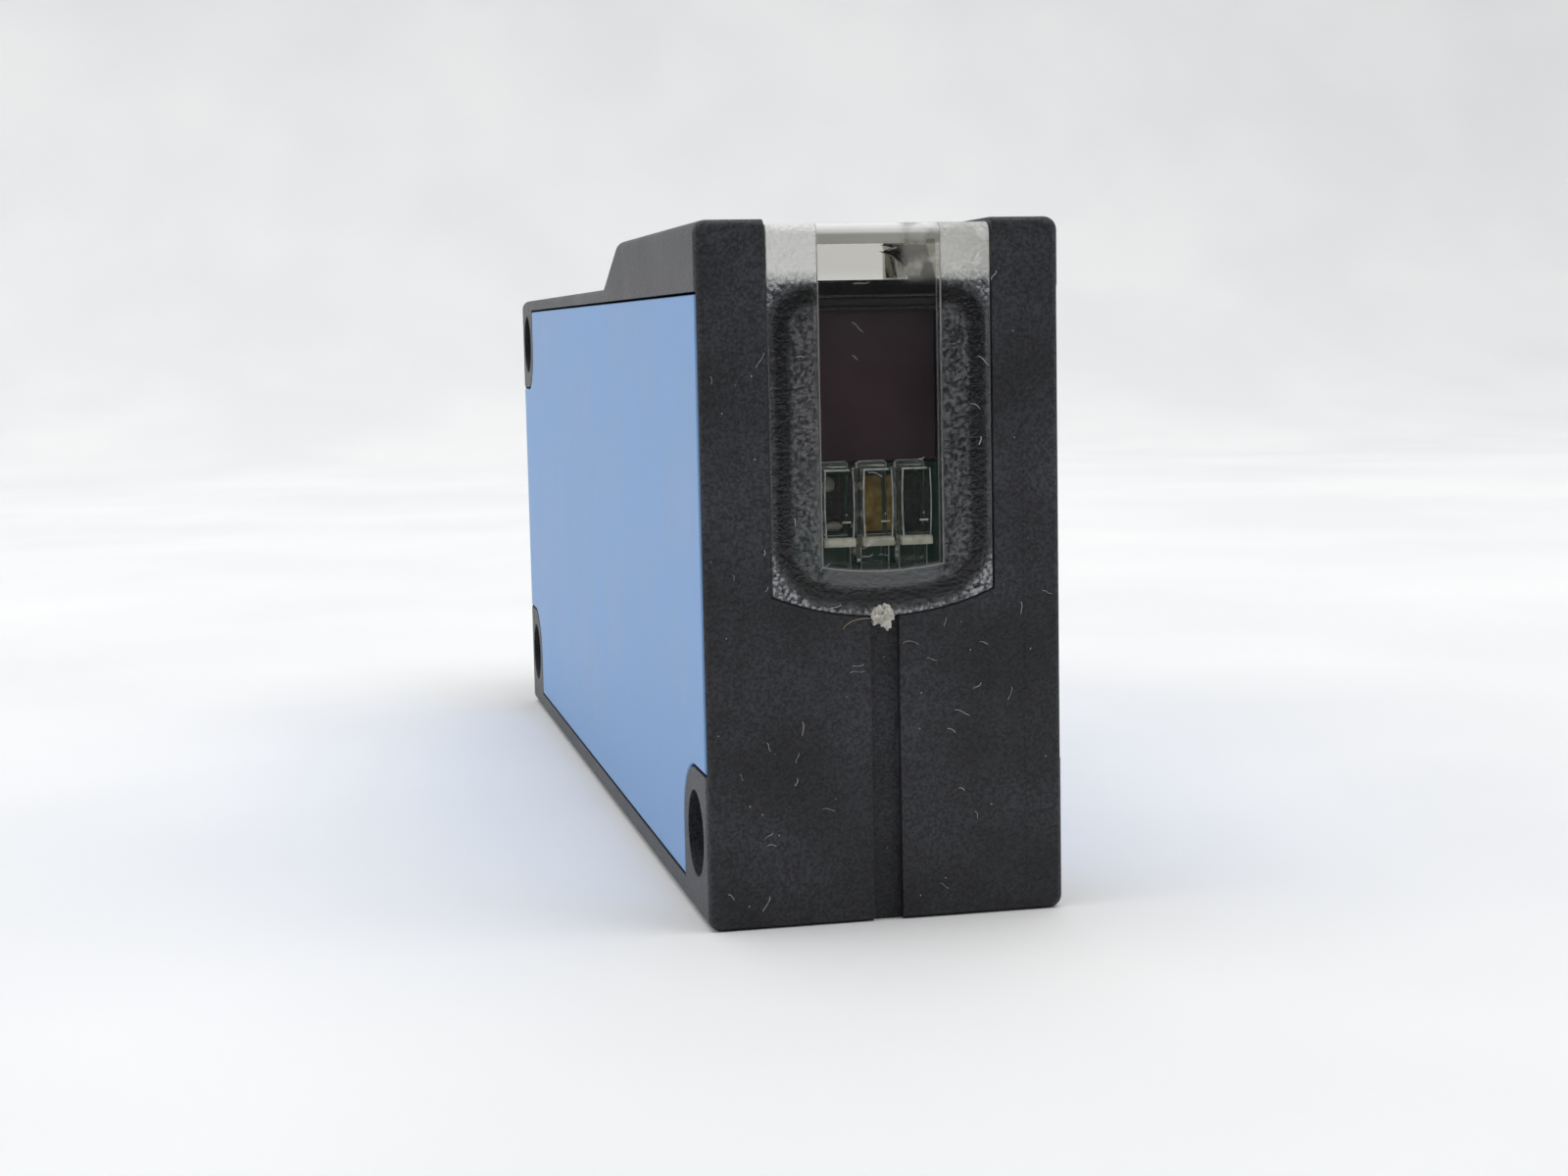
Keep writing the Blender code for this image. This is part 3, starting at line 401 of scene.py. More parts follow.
    # smears where the slope behind is ragged, and the paler foot below the polished strip
    blotch = soft(scuffs.outputs["Fac"], 0.45, 0.7)
    beside = maths("MULTIPLY", soft(x, looks["smearFrom"], looks["smearFull"]), inRoof)
    smear = maths("MULTIPLY", maths("MULTIPLY", beside, atFront),
                  maths("MULTIPLY_ADD", blotch, looks["smearBlotch"], looks["smear"]))
    paleLow, paleHigh, paleHalf = looks["paleLow"], looks["paleHigh"], looks["paleHalf"]
    strip = maths("MULTIPLY", soft(level, paleLow, paleLow + 0.35), soft(level, paleHigh, paleHigh - 0.1))
    pale = maths("MULTIPLY", strip, maths("MULTIPLY", soft(wide, paleHalf, paleHalf - 0.6), looks["pale"]))
    bright = maths("MAXIMUM", lines, maths("MULTIPLY", paintedHighlight, looks["highlightMilk"]))
    milky = maths("MAXIMUM", maths("MAXIMUM", milky, smear), bright)
    milky = maths("MAXIMUM", milky, pale)
    specks = dustMask(tree, mmCoords, 1.1, 0.04, 0.45)
    solid = maths("MAXIMUM", milky, maths("MULTIPLY", specks, 0.6))
    clearness = maths("SUBTRACT", 1.0, solid)
    rough = maths("ADD", maths("MULTIPLY", frost, looks["frostRough"]), maths("MULTIPLY", scuffs.outputs["Fac"], 0.03))
    wrinkled = maths("MULTIPLY", wrinkle.outputs["Fac"], maths("MULTIPLY_ADD", inRoof, 2.4, 0.5))
    height = maths("MULTIPLY", maths("ADD", grain.outputs["Fac"], wrinkled), frost)
    bump = node(tree, "Bump", {"Height": height, "Strength": looks["frostBump"], "Distance": looks["frostDepth"] * mm})
    # painted shade: the ring takes a darker tint
    sideTint = mixColour(tree, onRing, linear(looks["frostTint"]), linear(looks["ringShadeTint"]))
    # painted light: the frost in the roof zone takes a paler tint
    frostTint = mixColour(tree, inRoof, sideTint, linear(looks["roofLightTint"]))
    clearTint = mixColour(tree, inRoof, linear(looks["clearTint"]), linear(looks["prismTint"]))
    # painted highlight: the clear part of the band at the front top edge takes a pale grey tint
    clearTint = mixColour(tree, onHighlight, clearTint, linear(looks["highlightTint"]))
    atEdge = soft(z, looks["edgeFrom"], looks["edgeFull"])
    clearTint = mixColour(tree, atEdge, clearTint, linear(looks["edgeTint"]))
    tint = mixColour(tree, frost, clearTint, frostTint)
    tree.links.new(tint, shader.inputs["Base Color"])
    tree.links.new(clearness, shader.inputs["Transmission Weight"])
    tree.links.new(rough, shader.inputs["Roughness"])
    tree.links.new(bump.outputs["Normal"], shader.inputs["Normal"])
    shader.inputs["IOR"].default_value = 1.49
    letLampsThrough(tree, shader)
    return material


def clearPlastic(name, looks):
    # polished clear plastic with faint flow lines and a little haze
    material, tree, shader, mmCoords = newMaterial(name)
    haze = node(tree, "TexNoise", {"Vector": mmCoords, "Scale": 1.3, "Detail": 2})
    tint = ramp(tree, haze.outputs["Fac"], ((0.3, looks["tint"]), (0.7, looks["tintLight"])))
    rough = node(tree, "MapRange", {0: haze.outputs["Fac"], 3: looks["rough"], 4: looks["rough"] + 0.05})
    flow = node(tree, "TexWave", {"Vector": mmCoords, "Scale": 0.25, "Distortion": 6, "Detail": 2})
    bump = node(tree, "Bump", {"Height": flow.outputs["Fac"], "Strength": 0.25, "Distance": 0.01 * mm})
    wireUp(tree, shader, tint, rough.outputs[0], bump)
    shader.inputs["Transmission Weight"].default_value = looks["clear"]
    shader.inputs["IOR"].default_value = looks["ior"]
    letLampsThrough(tree, shader)
    return material


def opticPlastic():
    # infrared-filter polycarbonate: almost black with a plum tone, moulded to a high gloss, with hairline scuffs
    material, tree, shader, mmCoords = newMaterial("plumFilterPolycarbonate")
    cloud = node(tree, "TexNoise", {"Vector": mmCoords, "Scale": 0.3, "Detail": 2})
    tone = ramp(tree, cloud.outputs["Fac"], ((0.3, "4f3d45"), (0.7, "58454d")))
    streaks = node(tree, "Mapping", {"Vector": mmCoords, "Rotation": (0.3, 0.9, 0.2), "Scale": (0.35, 0.35, 5)})
    scuff = node(tree, "TexNoise", {"Vector": streaks.outputs[0], "Scale": 2, "Detail": 4, "Roughness": 0.7})
    line = ramp(tree, scuff.outputs["Fac"], ((0.70, 0.0), (0.74, 0.35)))
    specks = dustMask(tree, mmCoords, 0.8, 0.03, 0.4)
    marks = node(tree, "Math", {0: specks, 1: line}, operation="MAXIMUM").outputs[0]
    colour = mixColour(tree, marks, tone, linear("b8b4b0"))
    rough = node(tree, "MapRange", {0: cloud.outputs["Fac"], 3: 0.14, 4: 0.24})
    bump = node(tree, "Bump", {"Height": scuff.outputs["Fac"], "Strength": 0.02, "Distance": 0.001 * mm})
    wireUp(tree, shader, colour, rough.outputs[0], bump)
    shader.inputs["IOR"].default_value = 1.55
    return material


def boardMaterial():
    # green solder mask over copper: paler lines where a track lies under the mask, and a fine orange-peel gloss
    material, tree, shader, mmCoords = newMaterial("greenSolderMaskBoard")
    tracks = node(tree, "TexBrick", {"Vector": mmCoords, "Scale": 1, "Mortar Size": 0.07, "Brick Width": 1.7,
                                     "Row Height": 0.62, "Color1": (0, 0, 0, 1), "Color2": (0, 0, 0, 1),
                                     "Mortar": (1, 1, 1, 1)})
    cloud = node(tree, "TexNoise", {"Vector": mmCoords, "Scale": 1.5, "Detail": 3})
    mask = ramp(tree, cloud.outputs["Fac"], ((0.3, "2c6650"), (0.7, "3a7560")))
    colour = mixColour(tree, tracks.outputs["Color"], mask, linear("5a917a"))
    peel = node(tree, "TexNoise", {"Vector": mmCoords, "Scale": 6, "Detail": 2})
    height = node(tree, "Math", {0: peel.outputs["Fac"], 1: tracks.outputs["Color"]}, operation="ADD")
    bump = node(tree, "Bump", {"Height": height.outputs[0], "Strength": 0.5, "Distance": 0.02 * mm})
    rough = node(tree, "MapRange", {0: cloud.outputs["Fac"], 3: 0.3, 4: 0.42})
    wireUp(tree, shader, colour, rough.outputs[0], bump)
    shader.inputs["IOR"].default_value = 1.5
    return material


def platedMetal(name, looks):
    # turned or drawn metal under a thin plate: tool lines round the part, and a slow tarnish
    material, tree, shader, mmCoords = newMaterial(name)
    lines = node(tree, "Mapping", {"Vector": mmCoords, "Scale": looks["stretch"]})
    tool = node(tree, "TexNoise", {"Vector": lines.outputs[0], "Scale": 1, "Detail": 3})
    tarnish = node(tree, "TexNoise", {"Vector": mmCoords, "Scale": 0.5, "Detail": 4})
    colour = ramp(tree, tarnish.outputs["Fac"], ((0.35, looks["dark"]), (0.65, looks["light"])))
    rough = node(tree, "MapRange", {0: tarnish.outputs["Fac"], 1: 0.3, 2: 0.7,
                                    3: looks["rough"], 4: looks["rough"] + 0.12})
    bump = node(tree, "Bump", {"Height": tool.outputs["Fac"], "Strength": looks["bump"], "Distance": 0.01 * mm})
    wireUp(tree, shader, colour, rough.outputs[0], bump)
    shader.inputs["Metallic"].default_value = 1.0
    return material


def lampPlastic(name, looks):
    # a light-emitting diode's cast resin: a cloudy body, slightly see-through
    material, tree, shader, mmCoords = newMaterial(name)
    cloud = node(tree, "TexNoise", {"Vector": mmCoords, "Scale": 1.6, "Detail": 3})
    colour = ramp(tree, cloud.outputs["Fac"], ((0.35, looks["dark"]), (0.65, looks["light"])))
    bump = node(tree, "Bump", {"Height": cloud.outputs["Fac"], "Strength": 0.4, "Distance": 0.03 * mm})
    rough = node(tree, "MapRange", {0: cloud.outputs["Fac"], 3: 0.2, 4: 0.34})
    wireUp(tree, shader, colour, rough.outputs[0], bump)
    shader.inputs["Subsurface Weight"].default_value = 0.3
    shader.inputs["Subsurface Radius"].default_value = (0.0006, 0.0004, 0.0002)
    shader.inputs["Subsurface Scale"].default_value = 1.0
    shader.inputs["IOR"].default_value = 1.53
    return material


frostedWindow = windowMaterial()
combLooks = {"tint": "f0f3f1", "tintLight": "f8faf8", "rough": 0.02, "clear": 1.0, "ior": 1.49}
lensLooks = {"tint": "f1efec", "tintLight": "faf9f6", "rough": 0.01, "clear": 1.0, "ior": 1.49}
combClear = clearPlastic("polishedClearAcrylic", combLooks)
lensClear = clearPlastic("opticalClearAcrylic", lensLooks)
opticDark = opticPlastic()
boardGreen = boardMaterial()
nickelLooks = {"dark": "b9b4a8", "light": "cfcabf", "rough": 0.2, "bump": 0.35, "stretch": (0.6, 14, 0.6)}
goldLooks = {"dark": "d8b066", "light": "e8c67e", "rough": 0.16, "bump": 0.2, "stretch": (0.6, 18, 0.6)}
canLooks = {"dark": "b4b6b8", "light": "c9cbcc", "rough": 0.28, "bump": 0.3, "stretch": (16, 1, 1)}
solderLooks = {"dark": "d2cac2", "light": "efe8e0", "rough": 0.42, "bump": 0.5, "stretch": (4, 4, 4)}
nickelPlate = platedMetal("nickelPlatedBrass", nickelLooks)
goldPlate = platedMetal("goldPlatedContact", goldLooks)
aluminiumCan = platedMetal("drawnAluminiumCan", canLooks)
solderTin = platedMetal("tinSolder", solderLooks)
amberResin = lampPlastic("amberCastResin", {"dark": "b48c3a", "light": "d8b862"})
whiteResin = lampPlastic("whiteCastResin", {"dark": "a8a89a", "light": "d6d6c8"})
smokedResin = lampPlastic("smokedCastResin", {"dark": "17191b", "light": "24292a"})
duskResin = lampPlastic("duskyCastResin", {"dark": "3a3331", "light": "5a504b"})
print("materials made:", len(bpy.data.materials))


# camera, floor and light
cameraFacts = {"place": (-28.11 * mm, -145.74 * mm, 28.33 * mm), "turn": (83.7952, 1.1661, -12.2738), "lens": 54.28}
bpy.ops.object.camera_add(location=cameraFacts["place"], rotation=[math.radians(a) for a in cameraFacts["turn"]])
camera = bpy.context.object
camera.data.lens = cameraFacts["lens"]
camera.data.sensor_width = 36
camera.data.clip_start = 0.005
camera.data.clip_end = 20
bpy.context.scene.camera = camera

floorFacts = {"half": 1.6, "behind": 0.36, "sweep": 0.16, "wall": 1.3, "tone": "eff0f1", "toneLight": "f6f6f6"}


def makeFloor():
    # a sheet of paper that lies under the object and curves up behind it
    facts = floorFacts
    back = facts["behind"]
    bpy.ops.object.select_all(action="DESELECT")
    bpy.ops.mesh.primitive_plane_add(size=2 * facts["half"], location=(0, back - facts["half"], 0))
    floor = settle("paperFloor")
    radius = facts["sweep"]
    steps = 24
    for i in range(steps):                       # the far edge is extruded step by step round the curve
        turnA = math.pi / 2 * i / steps
        turnB = math.pi / 2 * (i + 1) / steps
        move = (0, radius * (math.sin(turnB) - math.sin(turnA)), radius * (math.cos(turnA) - math.cos(turnB)))
        edgeY = back + radius * math.sin(turnA)
        edgeZ = radius * (1 - math.cos(turnA))
        pick(floor, "EDGE", lambda edge: all(
            abs(v.co.y - edgeY) < tiny and abs(v.co.z - edgeZ) < tiny for v in edge.verts))
        bpy.ops.mesh.extrude_region_move(TRANSFORM_OT_translate={"value": move})
        leave()
    pick(floor, "EDGE", lambda edge: all(abs(v.co.z - radius) < tiny for v in edge.verts))
    bpy.ops.mesh.extrude_region_move(TRANSFORM_OT_translate={"value": (0, 0, facts["wall"])})
    leave()
    take(floor)
    bpy.ops.object.shade_smooth()
    material, tree, shader, mmCoords = newMaterial("mattWhitePaper")
    fibre = node(tree, "TexNoise", {"Vector": mmCoords, "Scale": 0.8, "Detail": 4})
    cloud = node(tree, "TexNoise", {"Vector": mmCoords, "Scale": 0.02, "Detail": 2})
    tone = ramp(tree, cloud.outputs["Fac"], ((0.35, facts["tone"]), (0.65, facts["toneLight"])))
    bump = node(tree, "Bump", {"Height": fibre.outputs["Fac"], "Strength": 0.15, "Distance": 0.05 * mm})
    tree.links.new(tone, shader.inputs["Base Color"])
    tree.links.new(bump.outputs["Normal"], shader.inputs["Normal"])
    shader.inputs["Roughness"].default_value = 0.8
    shader.inputs["Specular IOR Level"].default_value = 0.2
    floor.data.materials.append(material)


makeFloor()

cardFacts = {"centre": (0, -1.62, 0.002), "size": 2.9, "dark": "262627", "light": "343436"}


def makeBlackCard():
    # a black flock card in front of the set, outside the frame, so that clear faces don't mirror the white paper
    facts = cardFacts
    bpy.ops.object.select_all(action="DESELECT")
    bpy.ops.mesh.primitive_plane_add(size=facts["size"], location=facts["centre"])
    card = settle("blackFlockCard")
    card.visible_camera = False                  # it only takes reflections away, and casts no shade
    card.visible_diffuse = False
    card.visible_shadow = False
    material, tree, shader, mmCoords = newMaterial("blackFlockCard")
    nap = node(tree, "TexNoise", {"Vector": mmCoords, "Scale": 0.5, "Detail": 3})
    tone = ramp(tree, nap.outputs["Fac"], ((0.35, facts["dark"]), (0.65, facts["light"])))
    tree.links.new(tone, shader.inputs["Base Color"])
    shader.inputs["Roughness"].default_value = 0.95
    card.data.materials.append(material)


makeBlackCard()

lightFacts = {
    "room": {"strength": 0.66, "low": "e6e9ef", "high": "ffffff", "dimSide": 0.12},
    "overhead": {"place": (0.05, 0.05, 0.75), "size": 1.1, "power": 4.0, "aim": (0, 0.05, 0)},
    "rightKey": {"place": (0.6, -0.25, 0.45), "size": 0.7, "power": 0.9, "aim": (0, 0, 0.01)},
    "leftFill": {"place": (-0.7, 0.1, 0.3), "size": 0.8, "power": 1.7, "aim": (0, 0.02, 0.015)},
}


def makeLights():
    world = bpy.data.worlds.new("softRoom")
    bpy.context.scene.world = world
    world.use_nodes = True
    tree = world.node_tree
    facts = lightFacts["room"]
    direction = node(tree, "TexCoord")
    split = node(tree, "SeparateXYZ", {0: direction.outputs["Generated"]})
    tone = ramp(tree, split.outputs[2], ((0.0, facts["low"]), (0.9, facts["high"])))
    depth = node(tree, "MapRange", {0: split.outputs[1], 1: -0.85, 2: 0.1, 3: facts["dimSide"], 4: facts["strength"]},
                 interpolation_type="SMOOTHSTEP")        # the room is dimmer on the near side
    path = node(tree, "LightPath")
    seen = node(tree, "Mix", {0: path.outputs["Is Camera Ray"], 2: depth.outputs[0], 3: facts["strength"]},
                data_type="FLOAT")                       # what is seen directly stays pale all round
    background = tree.nodes["Background"]
    tree.links.new(tone, background.inputs["Color"])
    tree.links.new(seen.outputs[0], background.inputs["Strength"])
    for name in ("overhead", "rightKey", "leftFill"):
        facts = lightFacts[name]
        aim = Vector(facts["aim"]) - Vector(facts["place"])
        turn = aim.to_track_quat("-Z", "Y").to_euler()
        bpy.ops.object.light_add(type="AREA", location=facts["place"], rotation=turn)
        lamp = bpy.context.object
        lamp.name = name
        lamp.data.shape = "DISK"
        lamp.data.size = facts["size"]
        lamp.data.energy = facts["power"]
        lamp.visible_transmission = False        # the clear window shows the room and not the lamps


makeLights()
print("camera, floor and lights set")


# side covers, and the same outline as a cutter
coverSizes = {"holeFromEnd": 3.2 * mm, "holeLow": 4.2 * mm, "holeRise": 23.5 * mm, "hole": 2.1 * mm,
              "boss": 3.35 * mm, "seam": 0.12 * mm, "thickness": coverHigh.x - coverLow.x, "edge": 0.14 * mm}
holes = [(near + coverSizes["holeFromEnd"], coverSizes["holeLow"]),
         (far - coverSizes["holeFromEnd"], coverSizes["holeLow"]),
         (far - coverSizes["holeFromEnd"], coverSizes["holeLow"] + coverSizes["holeRise"])]


def coverShape(name, lowX, highX, grow, nearIn=0.0, farIn=0.0):
    low = (lowX, coverLow.y - grow + nearIn, coverLow.z - grow)
    high = (highX, coverHigh.y + grow - farIn, coverHigh.z + grow)
    plate = addBox(name, low, high)
    radius = coverSizes["boss"] - grow
    for y, z in holes:                           # notches round the bosses: a disc, and the corner behind it
        plug = addRod("bossPlug", radius, (lowX - over, y, z), (highX + over, y, z), sides=96)
        out = -1 if y < 0 else 1
        up = 1 if z > 0.01 else -1
        endY, endZ = out * (far + over), (bodyHigh.z + over if up > 0 else -over)
        for corner in ((y, z + -up * radius), (y - out * radius, z)):
            block = addBox("bossCorner", (lowX - over, min(corner[0], endY), min(corner[1], endZ)),
                           (highX + over, max(corner[0], endY), max(corner[1], endZ)))
            carve(plug, block, "UNION")
        carve(plate, plug)
    return plate


def makeCovers():
    thick = coverSizes["thickness"]
    for name, lowX in (("left_side_cover", -side), ("right_side_cover", side - thick)):
        cover = coverShape(name + "_panel", lowX, lowX + thick, 0.0)
        finishSurface(cover, coverSizes["edge"], 3, 50)
        place(cover, coverBlue, "cover_blue", name)


makeCovers()
print("side covers made")


# window, and the same outline as a cutter
windowSizes = {"leg": 1.0 * mm, "roof": 0.9 * mm, "prism": 1.8 * mm, "sag": 1.1 * mm, "knee": 24.8 * mm,
               "kneeShift": 0.3 * mm, "footSteps": 24, "farTop": 31.237 * mm, "farTip": 1.1 * mm,
               "topRound": 0.55 * mm, "edge": 0.07 * mm, "reliefRadius": 16 * mm,
               "reliefDepth": 0.03 * mm, "reliefFoot": 16.9 * mm, "reliefHalf": 2.98 * mm, "fit": 0.08 * mm}


def windowShape(name, grow=0.0, out=0.0):        # out moves the outer faces out, for the cutter
    sizes = windowSizes
    half = windowHigh.x + grow
    face, top = windowLow.y - out, windowHigh.z + out
    under = windowHigh.z - sizes["roof"] - grow
    legBack = windowLow.y + sizes["leg"] + grow
    knee = near + sizes["knee"]
    shape = addBox(name, (-half, face, under), (half, windowHigh.y + grow, top))
    prismBack = legBack + sizes["prism"]
    cutRound(shape, (0, prismBack, 0), (0, 1, 0))
    cutRound(shape, (0, knee, 0), (0, 1, 0))
    shift(shape, lambda co: abs(co.y - knee) < tiny and co.z < under + tiny, (0, -sizes["kneeShift"], 0))
    sink = sizes["farTop"] - sizes["farTip"] - grow - under
    shift(shape, lambda co: co.y > knee + over and co.z < under + tiny, (0, 0, sink))
    drop = sizes["farTop"] - windowHigh.z
    shift(shape, lambda co: co.y > knee + over and co.z > top - tiny, (0, 0, drop))
    levels = (under, under - sizes["prism"], windowLow.z - grow)
    for above, below in zip(levels, levels[1:]):         # down the slope that turns light upwards, then down the leg
        pick(shape, "FACE", lambda flat: flat.normal.z < -0.9 and flat.calc_center_median().y < prismBack
             and abs(flat.calc_center_median().z - above) < tiny)
        bpy.ops.mesh.extrude_region_move(TRANSFORM_OT_translate={"value": (0, 0, below - above)})
        leave()
        shift(shape, lambda co: co.z < below + tiny and abs(co.y - prismBack) < tiny, (0, -sizes["prism"], 0))
    wide = windowHigh.x
    radius = (wide * wide + sizes["sag"] ** 2) / (2 * sizes["sag"])
    foot = windowLow.z - grow
    places = [half * (2 * i / sizes["footSteps"] - 1) for i in range(sizes["footSteps"] + 1)]
    for x in places[1:-1]:
        cutRound(shape, (x, 0, 0), (1, 0, 0))
    for x in places:                                     # the foot hangs in an arc
        lift = radius + grow - math.sqrt((radius + grow) ** 2 - x * x)
        shift(shape, lambda co: abs(co.x - x) < tiny and co.z < foot + tiny, (0, 0, lift))
    faceOut(shape)
    return shape


def reliefCutter(face, top):                     # the polished strip lies a hair below the frosted sides
    sizes = windowSizes
    wide = sizes["reliefHalf"]
    cutter = addBox("relief", (-wide, face - over, sizes["reliefFoot"]),
                    (wide, face + sizes["reliefDepth"], top + over))
    radius = sizes["reliefRadius"]
    foot = addRod("reliefFoot", radius, (0, face - 2 * over, sizes["reliefFoot"] + radius),
                  (0, face + over, sizes["reliefFoot"] + radius), sides=360)
    carve(cutter, foot, "INTERSECT")
    return cutter


bondMark = [(1.0, 32.55), (0.62, 32.28), (1.12, 32.16), (0.55, 31.98), (1.02, 31.8), (1.3, 31.5), (1.52, 31.15),
            (1.66, 30.5), (2.95, 30.5), (2.95, 32.55)]


def bondMarkCutter():                            # ragged patch where the slope was never moulded out
    bpy.ops.object.select_all(action="DESELECT")
    bpy.ops.mesh.primitive_circle_add(vertices=len(bondMark), radius=1.0, fill_type="NGON")
    cutter = bpy.context.object
    cutter.name = "bondMark"
    back = windowLow.y + windowSizes["leg"]
    for vert, (x, z) in zip(cutter.data.vertices, bondMark):
        vert.co = (x * mm, back, z * mm)
    pick(cutter, "FACE", lambda face: True)
    bpy.ops.mesh.extrude_region_move(TRANSFORM_OT_translate={"value": (0, windowSizes["prism"] + over, 0)})
    leave()
    faceOut(cutter)
    return cutter


def makeWindow():
    sizes = windowSizes
    window = windowShape("clearWindow")
    face, top = windowLow.y, windowHigh.z
    bevelEdges(window, lambda edge: abs(along(edge).x) > 0.9 and all(
        abs(v.co.y - face) < tiny and abs(v.co.z - top) < tiny for v in edge.verts), sizes["topRound"], 6)
    carve(window, bondMarkCutter())
    carve(window, reliefCutter(face, top))
    finishSurface(window, sizes["edge"], 2, 35)
    place(window, frostedWindow, "window_clear", "front_window")


makeWindow()
print("window made")

apertureSizes = {"half": 4.4 * mm, "low": 16.1 * mm, "high": 29.27 * mm, "corner": 1.6 * mm, "foot": 1.0 * mm,
                 "sagRadius": 11.8 * mm, "back": 26.2 * mm, "bridge": 29.95 * mm, "wall": 2.4 * mm}


def apertureShape(name, grow, startY, endY):     # round-cornered opening with a hanging foot
    sizes = apertureSizes
    half = sizes["half"] + grow
    low, high = sizes["low"] - grow, sizes["high"] + grow
    shape = addBox(name, (-half, startY, low), (half, endY, high))
    radius = sizes["sagRadius"] + grow
    foot = addRod("apertureFoot", radius, (0, startY - over, low + radius), (0, endY + over, low + radius), sides=240)
    carve(shape, foot, "INTERSECT")
    bevelEdges(shape, lambda edge: abs(along(edge).y) > 0.99 and all(
        abs(v.co.x) > half - tiny and v.co.z > high - tiny for v in edge.verts), sizes["corner"] + grow, 10)
    bevelEdges(shape, lambda edge: abs(along(edge).y) > 0.99 and all(
        abs(v.co.x) > half - tiny and v.co.z < high - 5 * mm for v in edge.verts), sizes["foot"] + grow, 8)
    return shape


sealSizes = {"outer": 0.5 * mm, "inner": 0.15 * mm, "edge": 0.09 * mm, "grooveOuter": 0.55 * mm,
             "grooveInner": 0.1 * mm, "grooveDeep": 0.45 * mm}         # how far round the aperture each lies
# housing
housingSizes = {"headRise": 2.5 * mm, "headLength": 24.8 * mm, "ramp": 6.3 * mm, "longEdge": 0.62 * mm,
                "endEdge": 0.36 * mm, "ledge": 1.0 * mm, "nearWall": 2.4 * mm, "farWall": 2.6 * mm,
                "grooveWidth": 1.4 * mm, "grooveDepth": 0.45 * mm, "grooveTop": 14.8 * mm,
                "lineFromSide": 1.82 * mm, "lineThick": 0.035 * mm, "lineSunk": 0.012 * mm, "lineEnd": 0.9 * mm,
                "port": 5.7 * mm, "rotorBore": 2.7 * mm, "cutEdge": 0.05 * mm}


def makeHousing():
    sizes = housingSizes
    bodyTop = bodyHigh.z - sizes["headRise"]
    housing = addBox("mouldedHousing", bodyLow, (side, far, bodyTop))
    headEnd = near + sizes["headLength"]
    cutRound(housing, (0, headEnd, 0), (0, 1, 0))
    cutRound(housing, (0, headEnd + sizes["ramp"], 0), (0, 1, 0))
    shift(housing, lambda co: co.z > bodyTop - tiny and co.y < headEnd + tiny, (0, 0, sizes["headRise"]))
    bevelEdges(housing, lambda edge: sharp(edge) and abs(along(edge).x) < 0.1 and abs(along(edge).y) > 0.5,
               sizes["longEdge"], 6)
    bevelEdges(housing, lambda edge: sharp(edge, 80) and abs(along(edge).y) < 0.5 and all(
        v.co.y < near + tiny or v.co.y > far - tiny for v in edge.verts), sizes["endEdge"], 4)

    thick, seam = coverSizes["thickness"], coverSizes["seam"]
    carve(housing, coverShape("recessLeft", -side - over, -side + thick + 0.1 * mm, seam))
    carve(housing, coverShape("recessRight", side - thick - 0.1 * mm, side + over, seam))
    lip = coverLow.y - near
    carve(housing, coverShape("cavity", -side - over, side + over, -sizes["ledge"],
                              sizes["nearWall"] - sizes["ledge"] - lip, sizes["farWall"] - sizes["ledge"] - lip))
    for y, z in holes:
        carve(housing, addRod("hole", coverSizes["hole"], (-side - over, y, z), (side + over, y, z), sides=96))

    aperture = apertureSizes
    seat = windowLow.y + windowSizes["leg"] + windowSizes["fit"]
    carve(housing, windowShape("windowSeat", windowSizes["fit"], over))
    carve(housing, apertureShape("endAperture", 0.0, seat - over / 2, near + aperture["wall"] + over))
    back = near + aperture["back"]
    half = aperture["half"]
    carve(housing, addBox("topAperture", (-half, seat - over / 2, aperture["bridge"]), (half, back, bodyTop + over)))
    carve(housing, addBox("lensAperture", (-half, near + aperture["wall"], bodyTop - 3 * over),
                          (half, back, aperture["bridge"] + over / 3)))
    ring = apertureShape("sealGroove", sealSizes["grooveOuter"], seat - over / 2, seat + sealSizes["grooveDeep"])
    carve(ring, apertureShape("sealGrooveInner", sealSizes["grooveInner"], seat - over, seat + over))
    carve(housing, ring)

    carve(housing, addBox("partingGroove", (-sizes["grooveWidth"] / 2, near - over, -over),
                          (sizes["grooveWidth"] / 2, near + sizes["grooveDepth"], sizes["grooveTop"])))
    carve(housing, addRod("connectorPort", sizes["port"], (0, far - sizes["farWall"] - over, connectorZ),
                          (0, far + over, connectorZ), sides=96))
    for nodeName in ("sensitivity_rotor", "selector_rotor"):
        low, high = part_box(nodeName)
        y = (low.y + high.y) / 2
        carve(housing, addRod("rotorBore", sizes["rotorBore"], (0, y, -over), (0, y, 4 * mm), sides=96))
    finishSurface(housing, sizes["cutEdge"], 2, 50)
    place(housing, housingBlack, "housing_black", "housing")


makeHousing()
print("housing made")


def makeSeal():                                  # bead between the housing and the window's leg
    sizes = sealSizes
    low, high = sealLow.y, sealHigh.y
    ring = apertureShape("windowBead", sizes["outer"], low, high)
    carve(ring, apertureShape("windowBeadInner", sizes["inner"], low - over, high + over))
    finishSurface(ring, sizes["edge"], 3, 50)
    place(ring, rubberBlack, "seal_black", "window_seal")


makeSeal()

